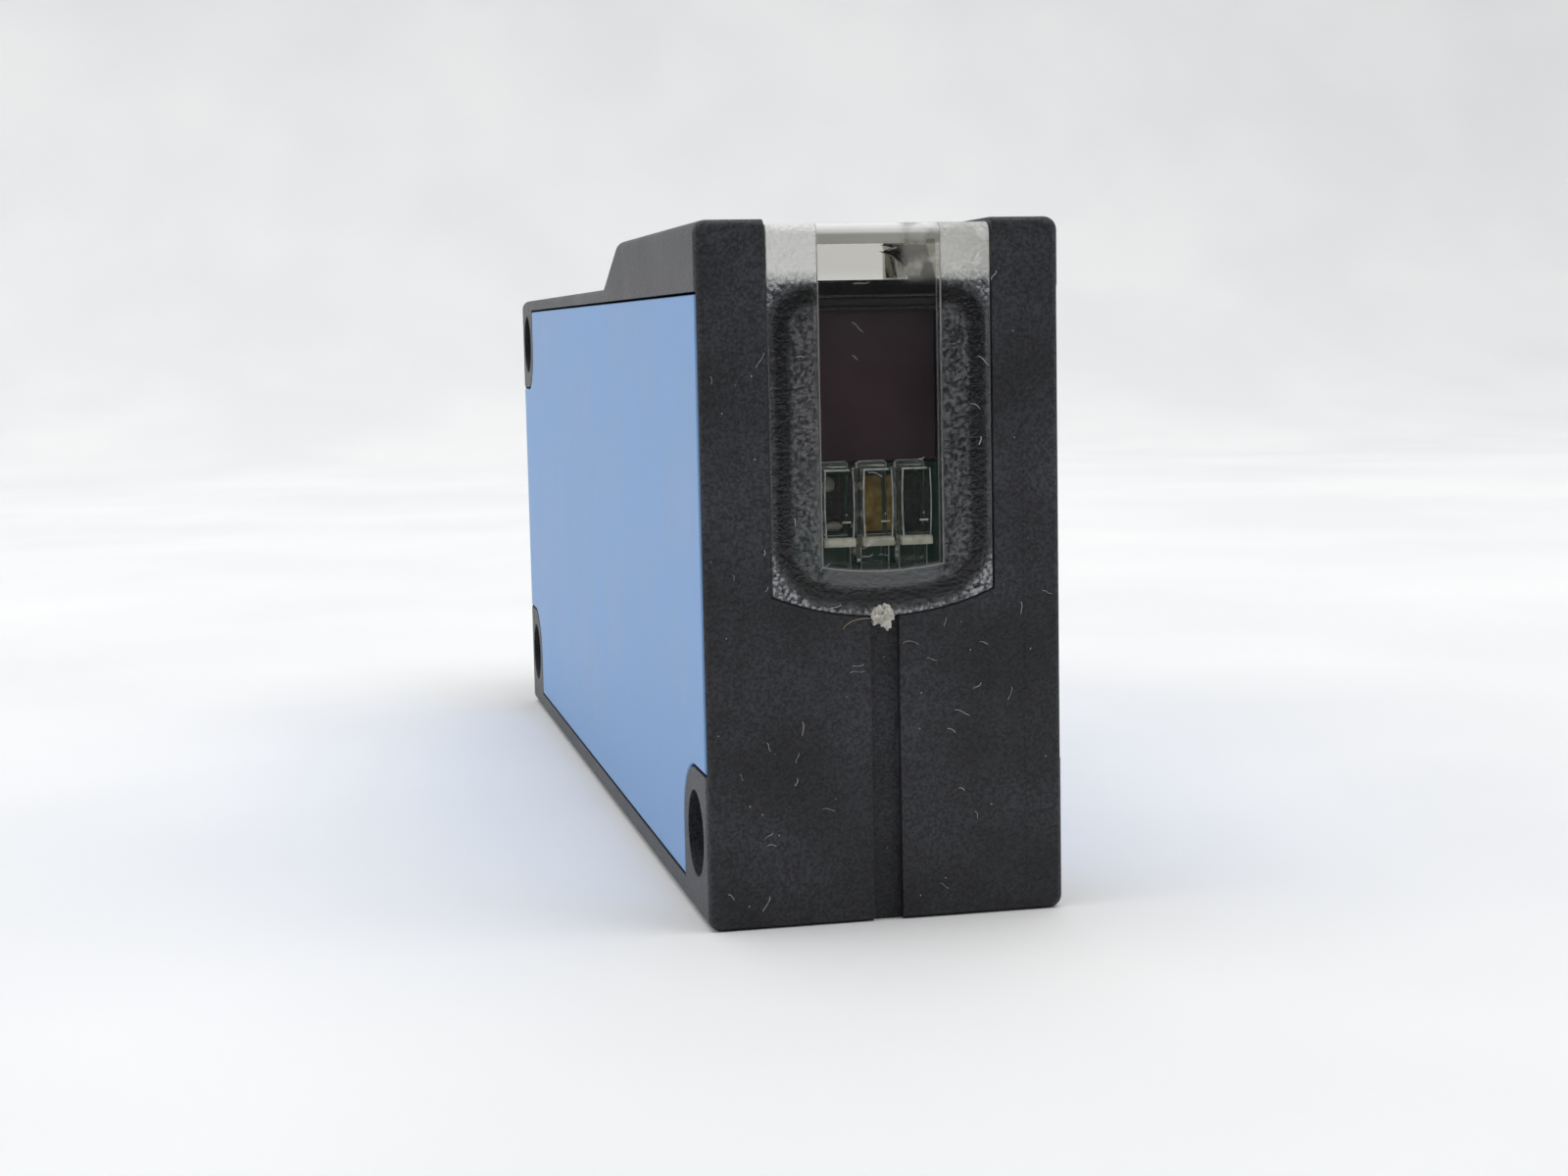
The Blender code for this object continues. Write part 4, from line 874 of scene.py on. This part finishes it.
# light comb and lights behind the window
combSizes = {"pitch": 1.9 * mm, "width": 1.5 * mm, "edge": 0.06 * mm, "ledge": 18.5 * mm, "band": 0.46 * mm,
             "legWidth": 1.38 * mm, "legBack": 0.8 * mm, "legDepth": 1.0 * mm, "lipBack": 1.25 * mm,
             "lipDeep": 0.5 * mm, "lipRise": 0.34 * mm, "lipHalf": 0.72 * mm, "glint": 0.035 * mm, "bow": 0.05 * mm,
             "glintBar": (0.44 * mm, 0.09 * mm), "glintBarX": 0.12 * mm, "glintBarZ": 19.22 * mm, "dot": 0.1 * mm,
             "dotRise": 0.35 * mm, "lipEdge": 0.16 * mm, "lipCorner": 0.12 * mm, "bandEdge": 0.2 * mm,
             "baseHigh": 1.4 * mm, "edgeRound": 0.03 * mm}
combLow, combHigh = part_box("light_guide")
prongFront = combLow.y
legFootFront = near + housingSizes["nearWall"] + 0.1 * mm


def makeProng():                                 # one clear prong, about x = 0
    sizes = combSizes
    half = sizes["width"] / 2
    prong = addBox("combProng", (-half, prongFront, sizes["ledge"]), (half, combHigh.y, combHigh.z))
    bevelEdges(prong, lambda edge: abs(along(edge).z) > 0.9 or all(v.co.z > combHigh.z - tiny for v in edge.verts),
               sizes["edge"], 3)
    lipFront = prongFront + sizes["lipBack"]
    lip = addBox("combLip", (-sizes["lipHalf"], lipFront, combHigh.z - 0.3 * mm),
                 (sizes["lipHalf"], lipFront + sizes["lipDeep"], combHigh.z + sizes["lipRise"]))
    bevelEdges(lip, lambda edge: abs(along(edge).y) > 0.9 and all(v.co.z > combHigh.z for v in edge.verts),
               sizes["lipEdge"], 4)
    carve(prong, lip, "UNION")
    legHalf = sizes["legWidth"] / 2
    legFront = prongFront + sizes["legBack"]
    leg = addBox("combLeg", (-legHalf, legFront, combLow.z + 1.0 * mm),
                 (legHalf, legFront + sizes["legDepth"], sizes["ledge"] + 0.3 * mm))
    carve(prong, leg, "UNION")
    return prong


def addWire(name, points, thick):                # a thin round line through the points
    bpy.ops.object.select_all(action="DESELECT")
    bpy.ops.curve.primitive_nurbs_path_add(location=(0, 0, 0))
    wire = bpy.context.object
    wire.data.splines.clear()
    line = wire.data.splines.new("POLY")
    line.points.add(len(points) - 1)
    for point, spot in zip(line.points, points):
        point.co = (*spot, 1)
    wire.data.bevel_depth = thick
    wire.data.bevel_resolution = 1
    wire.data.use_fill_caps = True
    bpy.ops.object.convert(target="MESH")
    return settle(name)


def prongGlints(x, z=combHigh.z):                 # painted highlights: white lines round one prong's front where its edges catch the light
    sizes = combSizes
    y, half, thick = prongFront, sizes["width"] / 2 - sizes["glint"], sizes["glint"]
    foot = sizes["ledge"]
    lines = []
    for sign in (-1, 1):
        points = []
        for i in range(13):                      # the long edges bow out a little in the middle
            share = i / 12
            out = half - sizes["bow"] + sizes["bow"] * math.sin(math.pi * share)
            points.append((x + sign * out, y, foot + (z - foot) * share))
        lines.append(addWire("glint", points, thick * (1.15 if sign < 0 else 0.85)))
        leg = sizes["legWidth"] / 2
        lines.append(addWire("glint", [(x + sign * leg, y + sizes["legBack"], foot - sizes["band"]),
                                       (x + sign * leg, y + sizes["legBack"], combLow.z + 1.1 * mm)], thick * 0.8))
    lines.append(addWire("glint", [(x - half, y, z), (x + half * 0.72, y, z)], thick * 1.5))
    lip, top = sizes["lipHalf"], z + sizes["lipRise"]
    front = y + sizes["lipBack"]
    corner = sizes["lipCorner"]
    bracket = [(x - lip, front, z), (x - lip, front, top - corner), (x - lip + corner, front, top),
               (x + lip - corner, front, top), (x + lip, front, top - corner), (x + lip, front, z)]
    lines.append(addWire("glint", bracket, thick * 0.8))
    return lines


def makeComb():
    sizes = combSizes
    foot = addBox("lightComb", (combLow.x, legFootFront, combLow.z),
                  (combHigh.x, combHigh.y, combLow.z + sizes["baseHigh"]))
    first = makeProng()
    glint, highlightSteps = [], []
    for step in (-1, 0, 1):
        x = step * sizes["pitch"]
        twin = copyOf(first, "combProngCopy")
        shift(twin, lambda co: True, (x, 0, 0))
        carve(foot, twin, "UNION")
        glint += prongGlints(x)
        half = sizes["width"] / 2
        # painted highlight: a pale bar under each prong's upper block, for its lower edge catching the light
        band = addBox("combHighlightStep", (x - half, prongFront, sizes["ledge"] - sizes["band"]),
                      (x + half + 0.04 * mm, prongFront + sizes["legBack"] - 0.05 * mm, sizes["ledge"] - 0.02 * mm))
        bevelEdges(band, lambda edge: abs(along(edge).x) > 0.9 and all(
            v.co.y < prongFront + tiny and v.co.z > sizes["ledge"] - 0.1 * mm for v in edge.verts),
                   sizes["bandEdge"], 5)
        finishSurface(band, sizes["edgeRound"], 2, 40)
        highlightSteps.append(band)
        # painted highlights: a small white bar and dot on each prong's front, where a lamp shows in reflection
        long, high = sizes["glintBar"]
        glintBarX, glintBarZ = x + sizes["glintBarX"], sizes["glintBarZ"]
        glintBar = addBox("paintedGlintBar", (glintBarX, prongFront - 0.02 * mm, glintBarZ - high / 2),
                      (glintBarX + long, prongFront + 0.03 * mm, glintBarZ + high / 2))
        finishSurface(glintBar, 0.02 * mm, 2, 40)
        glint.append(glintBar)
        glint.append(addBall("paintedGlintDot", (glintBarX + long / 2, prongFront, glintBarZ + sizes["dotRise"]),
                             [sizes["dot"]] * 3, 2))
    bpy.data.objects.remove(first)
    finishSurface(foot, sizes["edgeRound"], 2, 40)
    place(foot, combClear, "window_clear", "light_guide")
    place(joinAll("combPaintedGlints", glint), glintWhite, "window_clear")
    place(joinAll("combPaintedHighlightStep", highlightSteps), highlightStepWhite, "window_clear")


# painted highlight: pale resin for the bars under the prongs
highlightStepWhite = lampPlastic("paintedHighlightStep", {"dark": "c3c3b4", "light": "eeeee0"})
# painted highlights: white resin for the lines, bars and dots on the prongs' fronts
glintWhite = lampPlastic("paintedGlintWhite", {"dark": "b8bcb8", "light": "f4f4ee"})
makeComb()

lampLooks = {                                    # body colour, then the lens: its place, size and resin
    "indicator_led_left": {"body": "dark", "lens": (-0.1, 0.95, 0.72, 0.74), "resin": "white"},
    "indicator_led_middle": {"body": "amber", "lens": (-0.06, 0.05, 0.8, 2.2), "resin": "amber"},
    "indicator_led_right": {"body": "dark", "lens": (-0.3, 0.75, 0.5, 0.5), "resin": "dusk"},
}
lampSizes = {"back": 0.12 * mm, "rim": 0.14 * mm, "dish": 0.06 * mm, "edge": 0.06 * mm, "lensDeep": 0.32 * mm,
             "uneven": 0.03 * mm}
resins = {"dark": smokedResin, "amber": amberResin, "white": whiteResin, "dusk": duskResin}
slotOf = {part["node"]: part["material_slot"] for part in frame["record"]["subparts"]}


def makeLamp(name):                              # chip lamp: a cast body with a raised lens on its front
    looks = lampLooks[name]
    low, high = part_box(name)
    mid = (low + high) / 2
    body = addBox(name + "_body", low + Vector((0, lampSizes["back"], 0)), high)
    pick(body, "FACE", lambda face: face.normal.y < -0.9)
    bpy.ops.mesh.inset(thickness=lampSizes["rim"], depth=-lampSizes["dish"])
    leave()
    finishSurface(body, lampSizes["edge"], 2, 40)
    place(body, resins[looks["body"]], slotOf[name], name)
    x, z, wide, tall = looks["lens"]
    lens = addBall(name + "_lens", (mid.x + x * mm, low.y + lampSizes["lensDeep"] / 2, mid.z + z * mm),
                   (wide * mm, lampSizes["lensDeep"], tall * mm))
    roughen(lens, lampSizes["uneven"], 4)
    finishSurface(lens, 0, 2, 60)
    place(lens, resins[looks["resin"]], slotOf[name])


for lampName in lampLooks:
    makeLamp(lampName)

solderFacts = {"ahead": 0.72 * mm, "deep": 0.34 * mm, "uneven": 0.04 * mm}
# each solder fillet's x, z, width and height, in millimetres
solderBlobs = [(-0.95, 20.72, 0.34, 0.6), (-0.95, 19.35, 0.36, 0.52), (0.95, 20.75, 0.34, 0.42),
               (0.97, 19.4, 0.36, 0.4), (-0.98, 18.1, 0.3, 0.36), (-0.55, 17.55, 0.42, 0.5), (0.9, 18.3, 0.3, 0.36),
               (-1.8, 18.9, 0.95, 0.5), (2.72, 18.9, 0.2, 0.3), (-1.0, 21.75, 0.26, 0.3), (0.98, 21.8, 0.3, 0.34)]


def makeSolder():                                # shiny fillets at the lamps' ends
    blobs = []
    facts = solderFacts
    for count, (x, z, wide, tall) in enumerate(solderBlobs):
        blob = addBall("solderFillet" + str(count), (x * mm, boardLow.y - facts["ahead"], z * mm),
                       (wide * mm, facts["deep"], tall * mm))
        roughen(blob, facts["uneven"], count)
        blobs.append(blob)
    solder = joinAll("solderFillets", blobs)
    finishSurface(solder, 0, 2, 80)
    place(solder, solderTin, "nickel_plate")


makeSolder()
print("lights and light comb made")


# optics under the clear roof
opticSizes = {"wall": 0.8 * mm, "receiver": 10.5 * mm, "sender": 7.8 * mm, "edge": 0.16 * mm, "dome": 0.8 * mm}


def makeOptics():
    sizes = opticSizes
    carrier = addBox("opticsCarrierBlock", carrierLow, carrierHigh)
    half = carrierHigh.x - sizes["wall"]
    for nodeName, length in (("receiver_lens", sizes["receiver"]), ("sender_lens", sizes["sender"])):
        low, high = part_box(nodeName)
        y = (low.y + high.y) / 2
        carve(carrier, addBox("chamber", (-half, y - length / 2, carrierLow.z - over),
                              (half, y + length / 2, carrierHigh.z + over)))
        lens = addBox(nodeName + "_dome", low, high)
        reach = (high.y - low.y) / 2
        radius = (reach ** 2 + sizes["dome"] ** 2) / (2 * sizes["dome"])
        bpy.ops.object.select_all(action="DESELECT")
        bpy.ops.mesh.primitive_uv_sphere_add(segments=160, ring_count=80, radius=radius,
                                             location=(0, y, high.z - radius))
        carve(lens, settle("lensBall"), "INTERSECT")
        finishSurface(lens, 0.05 * mm, 2, 40)
        place(lens, lensClear, "window_clear", nodeName)
    finishSurface(carrier, sizes["edge"], 3, 50)
    place(carrier, opticDark, "optics_dark", "optics_carrier")


makeOptics()
print("optics made")


# plug connector
plugSizes = {"core": 5.39 * mm, "thread": 6.0 * mm, "pitch": 1.0 * mm, "flange": 7.0 * mm, "flangeLow": 0.7 * mm,
             "flangeThick": 1.6 * mm, "bore": 4.6 * mm, "shank": 5.6 * mm, "tip": 0.3 * mm, "runOut": 0.9 * mm,
             "teeth": 48, "toothDepth": 0.965, "pinRadius": 0.5 * mm, "keyWide": 0.9 * mm, "keyDeep": 0.75 * mm,
             "keyRoot": 0.5 * mm, "keyFit": 0.1 * mm, "keyTopFit": 0.14 * mm, "keyShort": 1.2 * mm, "pinHole": 0.6 * mm,
             "pinTip": 0.3 * mm, "insertEdge": 0.05 * mm, "sealFit": 0.1 * mm, "sealEdge": 0.15 * mm,
             "flangeEdge": 0.22 * mm}


def rodY(name, radius, startY, endY, sides=96, tip=None):
    return addRod(name, radius, (0, startY, connectorZ), (0, endY, connectorZ), sides, tip)


def makeThread(startY, turns):                   # one tooth swept round the axis as a screw
    sizes = plugSizes
    bpy.ops.object.select_all(action="DESELECT")
    bpy.ops.mesh.primitive_circle_add(vertices=4, radius=1.0, location=(0, startY, connectorZ), fill_type="NOTHING")
    thread = bpy.context.object
    thread.name = "threadTooth"
    mesh = thread.data                           # root wide, crest narrow
    inner, outer = sizes["core"] - 0.12 * mm, sizes["thread"]
    wide, narrow = 0.46 * sizes["pitch"], 0.07 * sizes["pitch"]
    for vert, spot in zip(mesh.vertices, ((inner, -wide), (outer, -narrow), (outer, narrow), (inner, wide))):
        vert.co = (spot[0], spot[1], 0)
    applyModifier(thread, "SCREW", axis="Y", angle=2 * math.pi, screw_offset=sizes["pitch"], iterations=turns,
                  steps=64, render_steps=64, use_merge_vertices=False, use_smooth_shade=True)
    for end in (0, 1):                           # the open ends are closed
        pick(thread, "EDGE", lambda edge: edge.is_boundary
             and (edge.verts[0].co.y > turns * sizes["pitch"] / 2) == bool(end))
        bpy.ops.mesh.edge_face_add()
        leave()
    faceOut(thread)
    take(thread)
    return settle("threadTooth")


def makeSleeve():
    sizes = plugSizes
    low = far + sizes["flangeLow"]
    top = low + sizes["flangeThick"]
    tip = sleeveHigh.y
    sleeve = rodY("threadedSleeve", sizes["shank"], sleeveLow.y, low + 0.2 * mm)
    flange = rodY("knurledFlange", sizes["flange"], low, top, sides=2 * sizes["teeth"])
    step = math.pi / sizes["teeth"]

    def groove(vert):                            # every second line of vertices round the rim
        turn = math.atan2(vert.co.z - connectorZ, vert.co.x) / step
        return round(turn) % 2 == 0 and math.hypot(vert.co.x, vert.co.z - connectorZ) > sizes["flange"] * 0.9

    applyModifier(flange, "BEVEL", width=sizes["flangeEdge"], segments=3, limit_method="ANGLE", angle_limit=math.radians(60))
    pick(flange, "VERT", groove)
    bpy.ops.transform.resize(value=(sizes["toothDepth"], 1, sizes["toothDepth"]), center_override=(0, low, connectorZ))
    leave()
    carve(sleeve, flange, "UNION")
    core = rodY("core", sizes["core"], low + 0.1 * mm, tip)
    bevelEdges(core, lambda edge: all(v.co.y > tip - tiny for v in edge.verts), sizes["tip"], 2)
    carve(sleeve, core, "UNION")
    turns = int((tip - top - sizes["runOut"]) / sizes["pitch"])
    carve(sleeve, makeThread(top + sizes["runOut"], turns), "UNION")
    carve(sleeve, rodY("bore", sizes["bore"], sleeveLow.y - over, tip + over))
    finishSurface(sleeve, 0, 2, 35)
    place(sleeve, nickelPlate, "nickel_plate", "connector_sleeve")


def makePlug():
    sizes = plugSizes
    low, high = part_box("connector_insert")
    insert = rodY("contactInsert", high.x, low.y, high.y)
    keyTop = connectorZ + sizes["bore"]
    key = addBox("codingKey", (-sizes["keyWide"] / 2, high.y - sizes["keyRoot"], keyTop - sizes["keyFit"] - sizes["keyDeep"]),
                 (sizes["keyWide"] / 2, sleeveHigh.y - sizes["keyShort"], keyTop - sizes["keyTopFit"]))
    carve(insert, key, "UNION")
    for count in (1, 2, 3, 4):
        name = "contact_pin_" + str(count)
        pinLow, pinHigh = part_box(name)
        x, z = (pinLow.x + pinHigh.x) / 2, (pinLow.z + pinHigh.z) / 2
        carve(insert, addRod("contactHole", sizes["pinHole"], (x, low.y - over, z), (x, high.y + over, z), 40))
        pin = addRod(name + "_turned", sizes["pinRadius"], (x, pinLow.y, z), (x, pinHigh.y, z), 40)
        bevelEdges(pin, lambda edge: all(v.co.y > pinHigh.y - tiny for v in edge.verts), sizes["pinTip"], 5)
        finishSurface(pin, 0, 2, 50)
        place(pin, goldPlate, "gold_plate", name)
    finishSurface(insert, sizes["insertEdge"], 2, 50)
    place(insert, epoxyBlack, "chip_black", "connector_insert")

    low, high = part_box("connector_seal")
    seal = rodY("flangeSealRing", high.x, low.y, high.y)
    carve(seal, rodY("sealBore", sizes["shank"] + sizes["sealFit"], low.y - over, high.y + over))
    finishSurface(seal, sizes["sealEdge"], 4, 50)
    place(seal, rubberBlack, "seal_black", "connector_seal")


makeSleeve()
makePlug()
print("plug connector made")


# adjusters in the rear face
rotorSizes = {"head": 1.1 * mm, "stem": 1.5 * mm, "slotWide": 0.6 * mm, "slotLong": 4.0 * mm, "slotDeep": 0.7 * mm,
              "edge": 0.12 * mm, "arrow": 0.55 * mm, "arrowIn": 0.1 * mm}


def makeRotor(nodeName, body):
    sizes = rotorSizes
    low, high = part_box(nodeName)
    y = (low.y + high.y) / 2
    rotor = addRod(nodeName + "_head", high.x, (0, y, low.z), (0, y, low.z + sizes["head"]), 72)
    bevelEdges(rotor, lambda edge: all(v.co.z < low.z + tiny for v in edge.verts), sizes["edge"], 3)
    carve(rotor, addRod("stem", sizes["stem"], (0, y, low.z + sizes["head"] / 2), (0, y, high.z), 48), "UNION")
    half = sizes["slotLong"] / 2
    slotTop = low.z + sizes["slotDeep"]
    carve(rotor, addBox("slot", (-half, y - sizes["slotWide"] / 2, low.z - over),
                        (half, y + sizes["slotWide"] / 2, slotTop)))
    tipX = half - sizes["arrowIn"]
    arrow = addRod("arrow", sizes["arrow"], (tipX, y, low.z - over), (tipX, y, slotTop), 3)
    carve(rotor, arrow)                          # a three-cornered end to the slot, as its pointer
    finishSurface(rotor, 0.04 * mm, 2, 50)
    place(rotor, rotorGrey, "rotor_grey", nodeName, body=body)


makeRotor("sensitivity_rotor", "sensitivity_adjuster")
makeRotor("selector_rotor", "mode_selector")
print("adjusters made")


# what lies on it: a crumb of weld flash, a fibre and fine lint
lintFacts = {"seed": 7, "count": 46, "thick": 0.011 * mm, "short": 0.25, "long": 0.8, "lift": 0.008 * mm,
             "halfWidth": 8.2, "low": 0.8, "high": 32.5, "grooveHalf": 0.9, "grooveTop": 15, "roofHalf": 5.6, "roofLow": 31,
             "windowHalf": 5.5, "windowFoot": 14.6}            # places and lengths in mm
fibreFacts = {"length": 1.7 * mm, "at": (-1.25 * mm, near - 0.06 * mm, 14.45 * mm), "turn": -0.25, "bow": 0.25 * mm,
              "thick": 0.02 * mm}
crumbFacts = {"at": (-0.12 * mm, near - 0.02 * mm, 14.85 * mm), "size": (0.95 * mm, 0.45 * mm, 0.8 * mm),
              "rough": 0.09 * mm, "lobes": 30, "seed": 5, "grit": 0.14 * mm, "gritDeep": 0.3 * mm}


def makeMouldLines():                            # faint ridges left by the mould insert, near each side
    sizes = housingSizes
    ridges = []
    for sign in (-1, 1):
        x, y = sign * (side - sizes["lineFromSide"]), near + sizes["lineSunk"]
        ridges.append(addWire("mouldLine", [(x, y, sizes["lineEnd"]), (x, y, bodyHigh.z - sizes["lineEnd"])],
                              sizes["lineThick"]))
    place(joinAll("mouldLines", ridges), housingBlack, "housing_black")


def makeCrumb():
    facts = crumbFacts
    crumb = addBall("weldFlashCrumb", facts["at"], facts["size"], 4)
    draw = random.Random(facts["seed"])
    for _ in range(facts["lobes"]):              # ragged lobes are pulled out of it one by one
        aim = Vector((draw.uniform(-1, 1), draw.uniform(-1, 0.4), draw.uniform(-1, 1))).normalized()
        centre = Vector(facts["at"])
        pick(crumb, "VERT", lambda vert: (vert.co - centre).normalized().dot(aim) > 0.93)
        bpy.ops.transform.translate(value=aim * facts["rough"] * draw.uniform(0.4, 1.3))
        leave()
    pick(crumb, "FACE", lambda face: True)
    bpy.ops.mesh.subdivide(number_cuts=1)
    bpy.ops.mesh.vertices_smooth(factor=0.5, repeat=1)
    bpy.ops.transform.vertex_random(offset=facts["rough"] / 4, seed=9)
    leave()
    grit = bpy.data.textures.new("crumbGrit", "CLOUDS")
    grit.noise_scale = facts["grit"]
    applyModifier(crumb, "DISPLACE", texture=grit, strength=facts["gritDeep"], mid_level=0.5)
    finishSurface(crumb, 0, 2, 60)
    place(crumb, crumbWax, "window_clear")


def addHair(name, length, at, turn, bow, thick):             # a thin bowed fibre lying against the end face
    bpy.ops.object.select_all(action="DESELECT")
    bpy.ops.curve.primitive_bezier_curve_add(radius=length / 2, location=(0, 0, 0))
    hair = bpy.context.object
    points = hair.data.splines[0].bezier_points
    points[0].handle_right = points[0].co + Vector((length * 0.3, bow, 0))
    points[1].handle_left = points[1].co - Vector((length * 0.3, -bow, 0))
    hair.data.bevel_depth = thick
    hair.data.bevel_resolution = 1
    hair.data.resolution_u = 8
    hair.data.use_fill_caps = True
    bpy.ops.object.convert(target="MESH")
    hair = bpy.context.object
    hair.rotation_euler = (math.radians(90), turn, 0)
    hair.location = at
    return settle(name)


def makeLint():
    facts = lintFacts
    draw = random.Random(facts["seed"])
    hairs = []
    while len(hairs) < facts["count"]:
        x, z = draw.uniform(-facts["halfWidth"], facts["halfWidth"]), draw.uniform(facts["low"], facts["high"])
        length = draw.uniform(facts["short"], facts["long"]) * mm
        turn, bow = draw.uniform(0, math.pi), draw.uniform(-0.3, 0.3) * length
        inGroove = abs(x) < facts["grooveHalf"] and z < facts["grooveTop"]
        if inGroove or abs(x) < facts["roofHalf"] and z > facts["roofLow"]:
            continue
        onHousing = abs(x) > facts["windowHalf"] or z < facts["windowFoot"]
        y = (near if onHousing else windowLow.y) - facts["lift"]
        hairs.append(addHair("lint", length, (x * mm, y, z * mm), turn, bow, facts["thick"] * draw.uniform(0.6, 1.2)))
    lint = joinAll("dustLint", hairs)
    place(lint, lintWhite, "window_clear")
    facts = fibreFacts
    fibre = addHair("strayFibre", facts["length"], facts["at"], facts["turn"], facts["bow"], facts["thick"])
    place(fibre, fibreBrown, "window_clear")


crumbWax = lampPlastic("whitishWeldFlash", {"dark": "a9a79c", "light": "dedcd2"})
lintWhite = lampPlastic("paleLint", {"dark": "b4b4b0", "light": "e6e6e0"})
fibreBrown = lampPlastic("brownFibre", {"dark": "6a5a40", "light": "9a8660"})
makeMouldLines()
makeCrumb()
makeLint()
print("crumb and lint made")

finishOf = {
    "housing_black": housingBlack, "cover_blue": coverBlue, "window_clear": lensClear, "seal_black": rubberBlack,
    "optics_dark": opticDark, "board_green": boardGreen, "chip_black": epoxyBlack, "led_amber": amberResin,
    "led_white": whiteResin, "led_green": smokedResin, "rotor_grey": rotorGrey, "nickel_plate": nickelPlate,
    "gold_plate": goldPlate, "aluminium_can": aluminiumCan,
}
for name, slot in slotOf.items():
    mesh = frame["nodes"][name].data
    mesh.materials.clear()
    mesh.materials.append(finishOf[slot])
print("CAD nodes finished")
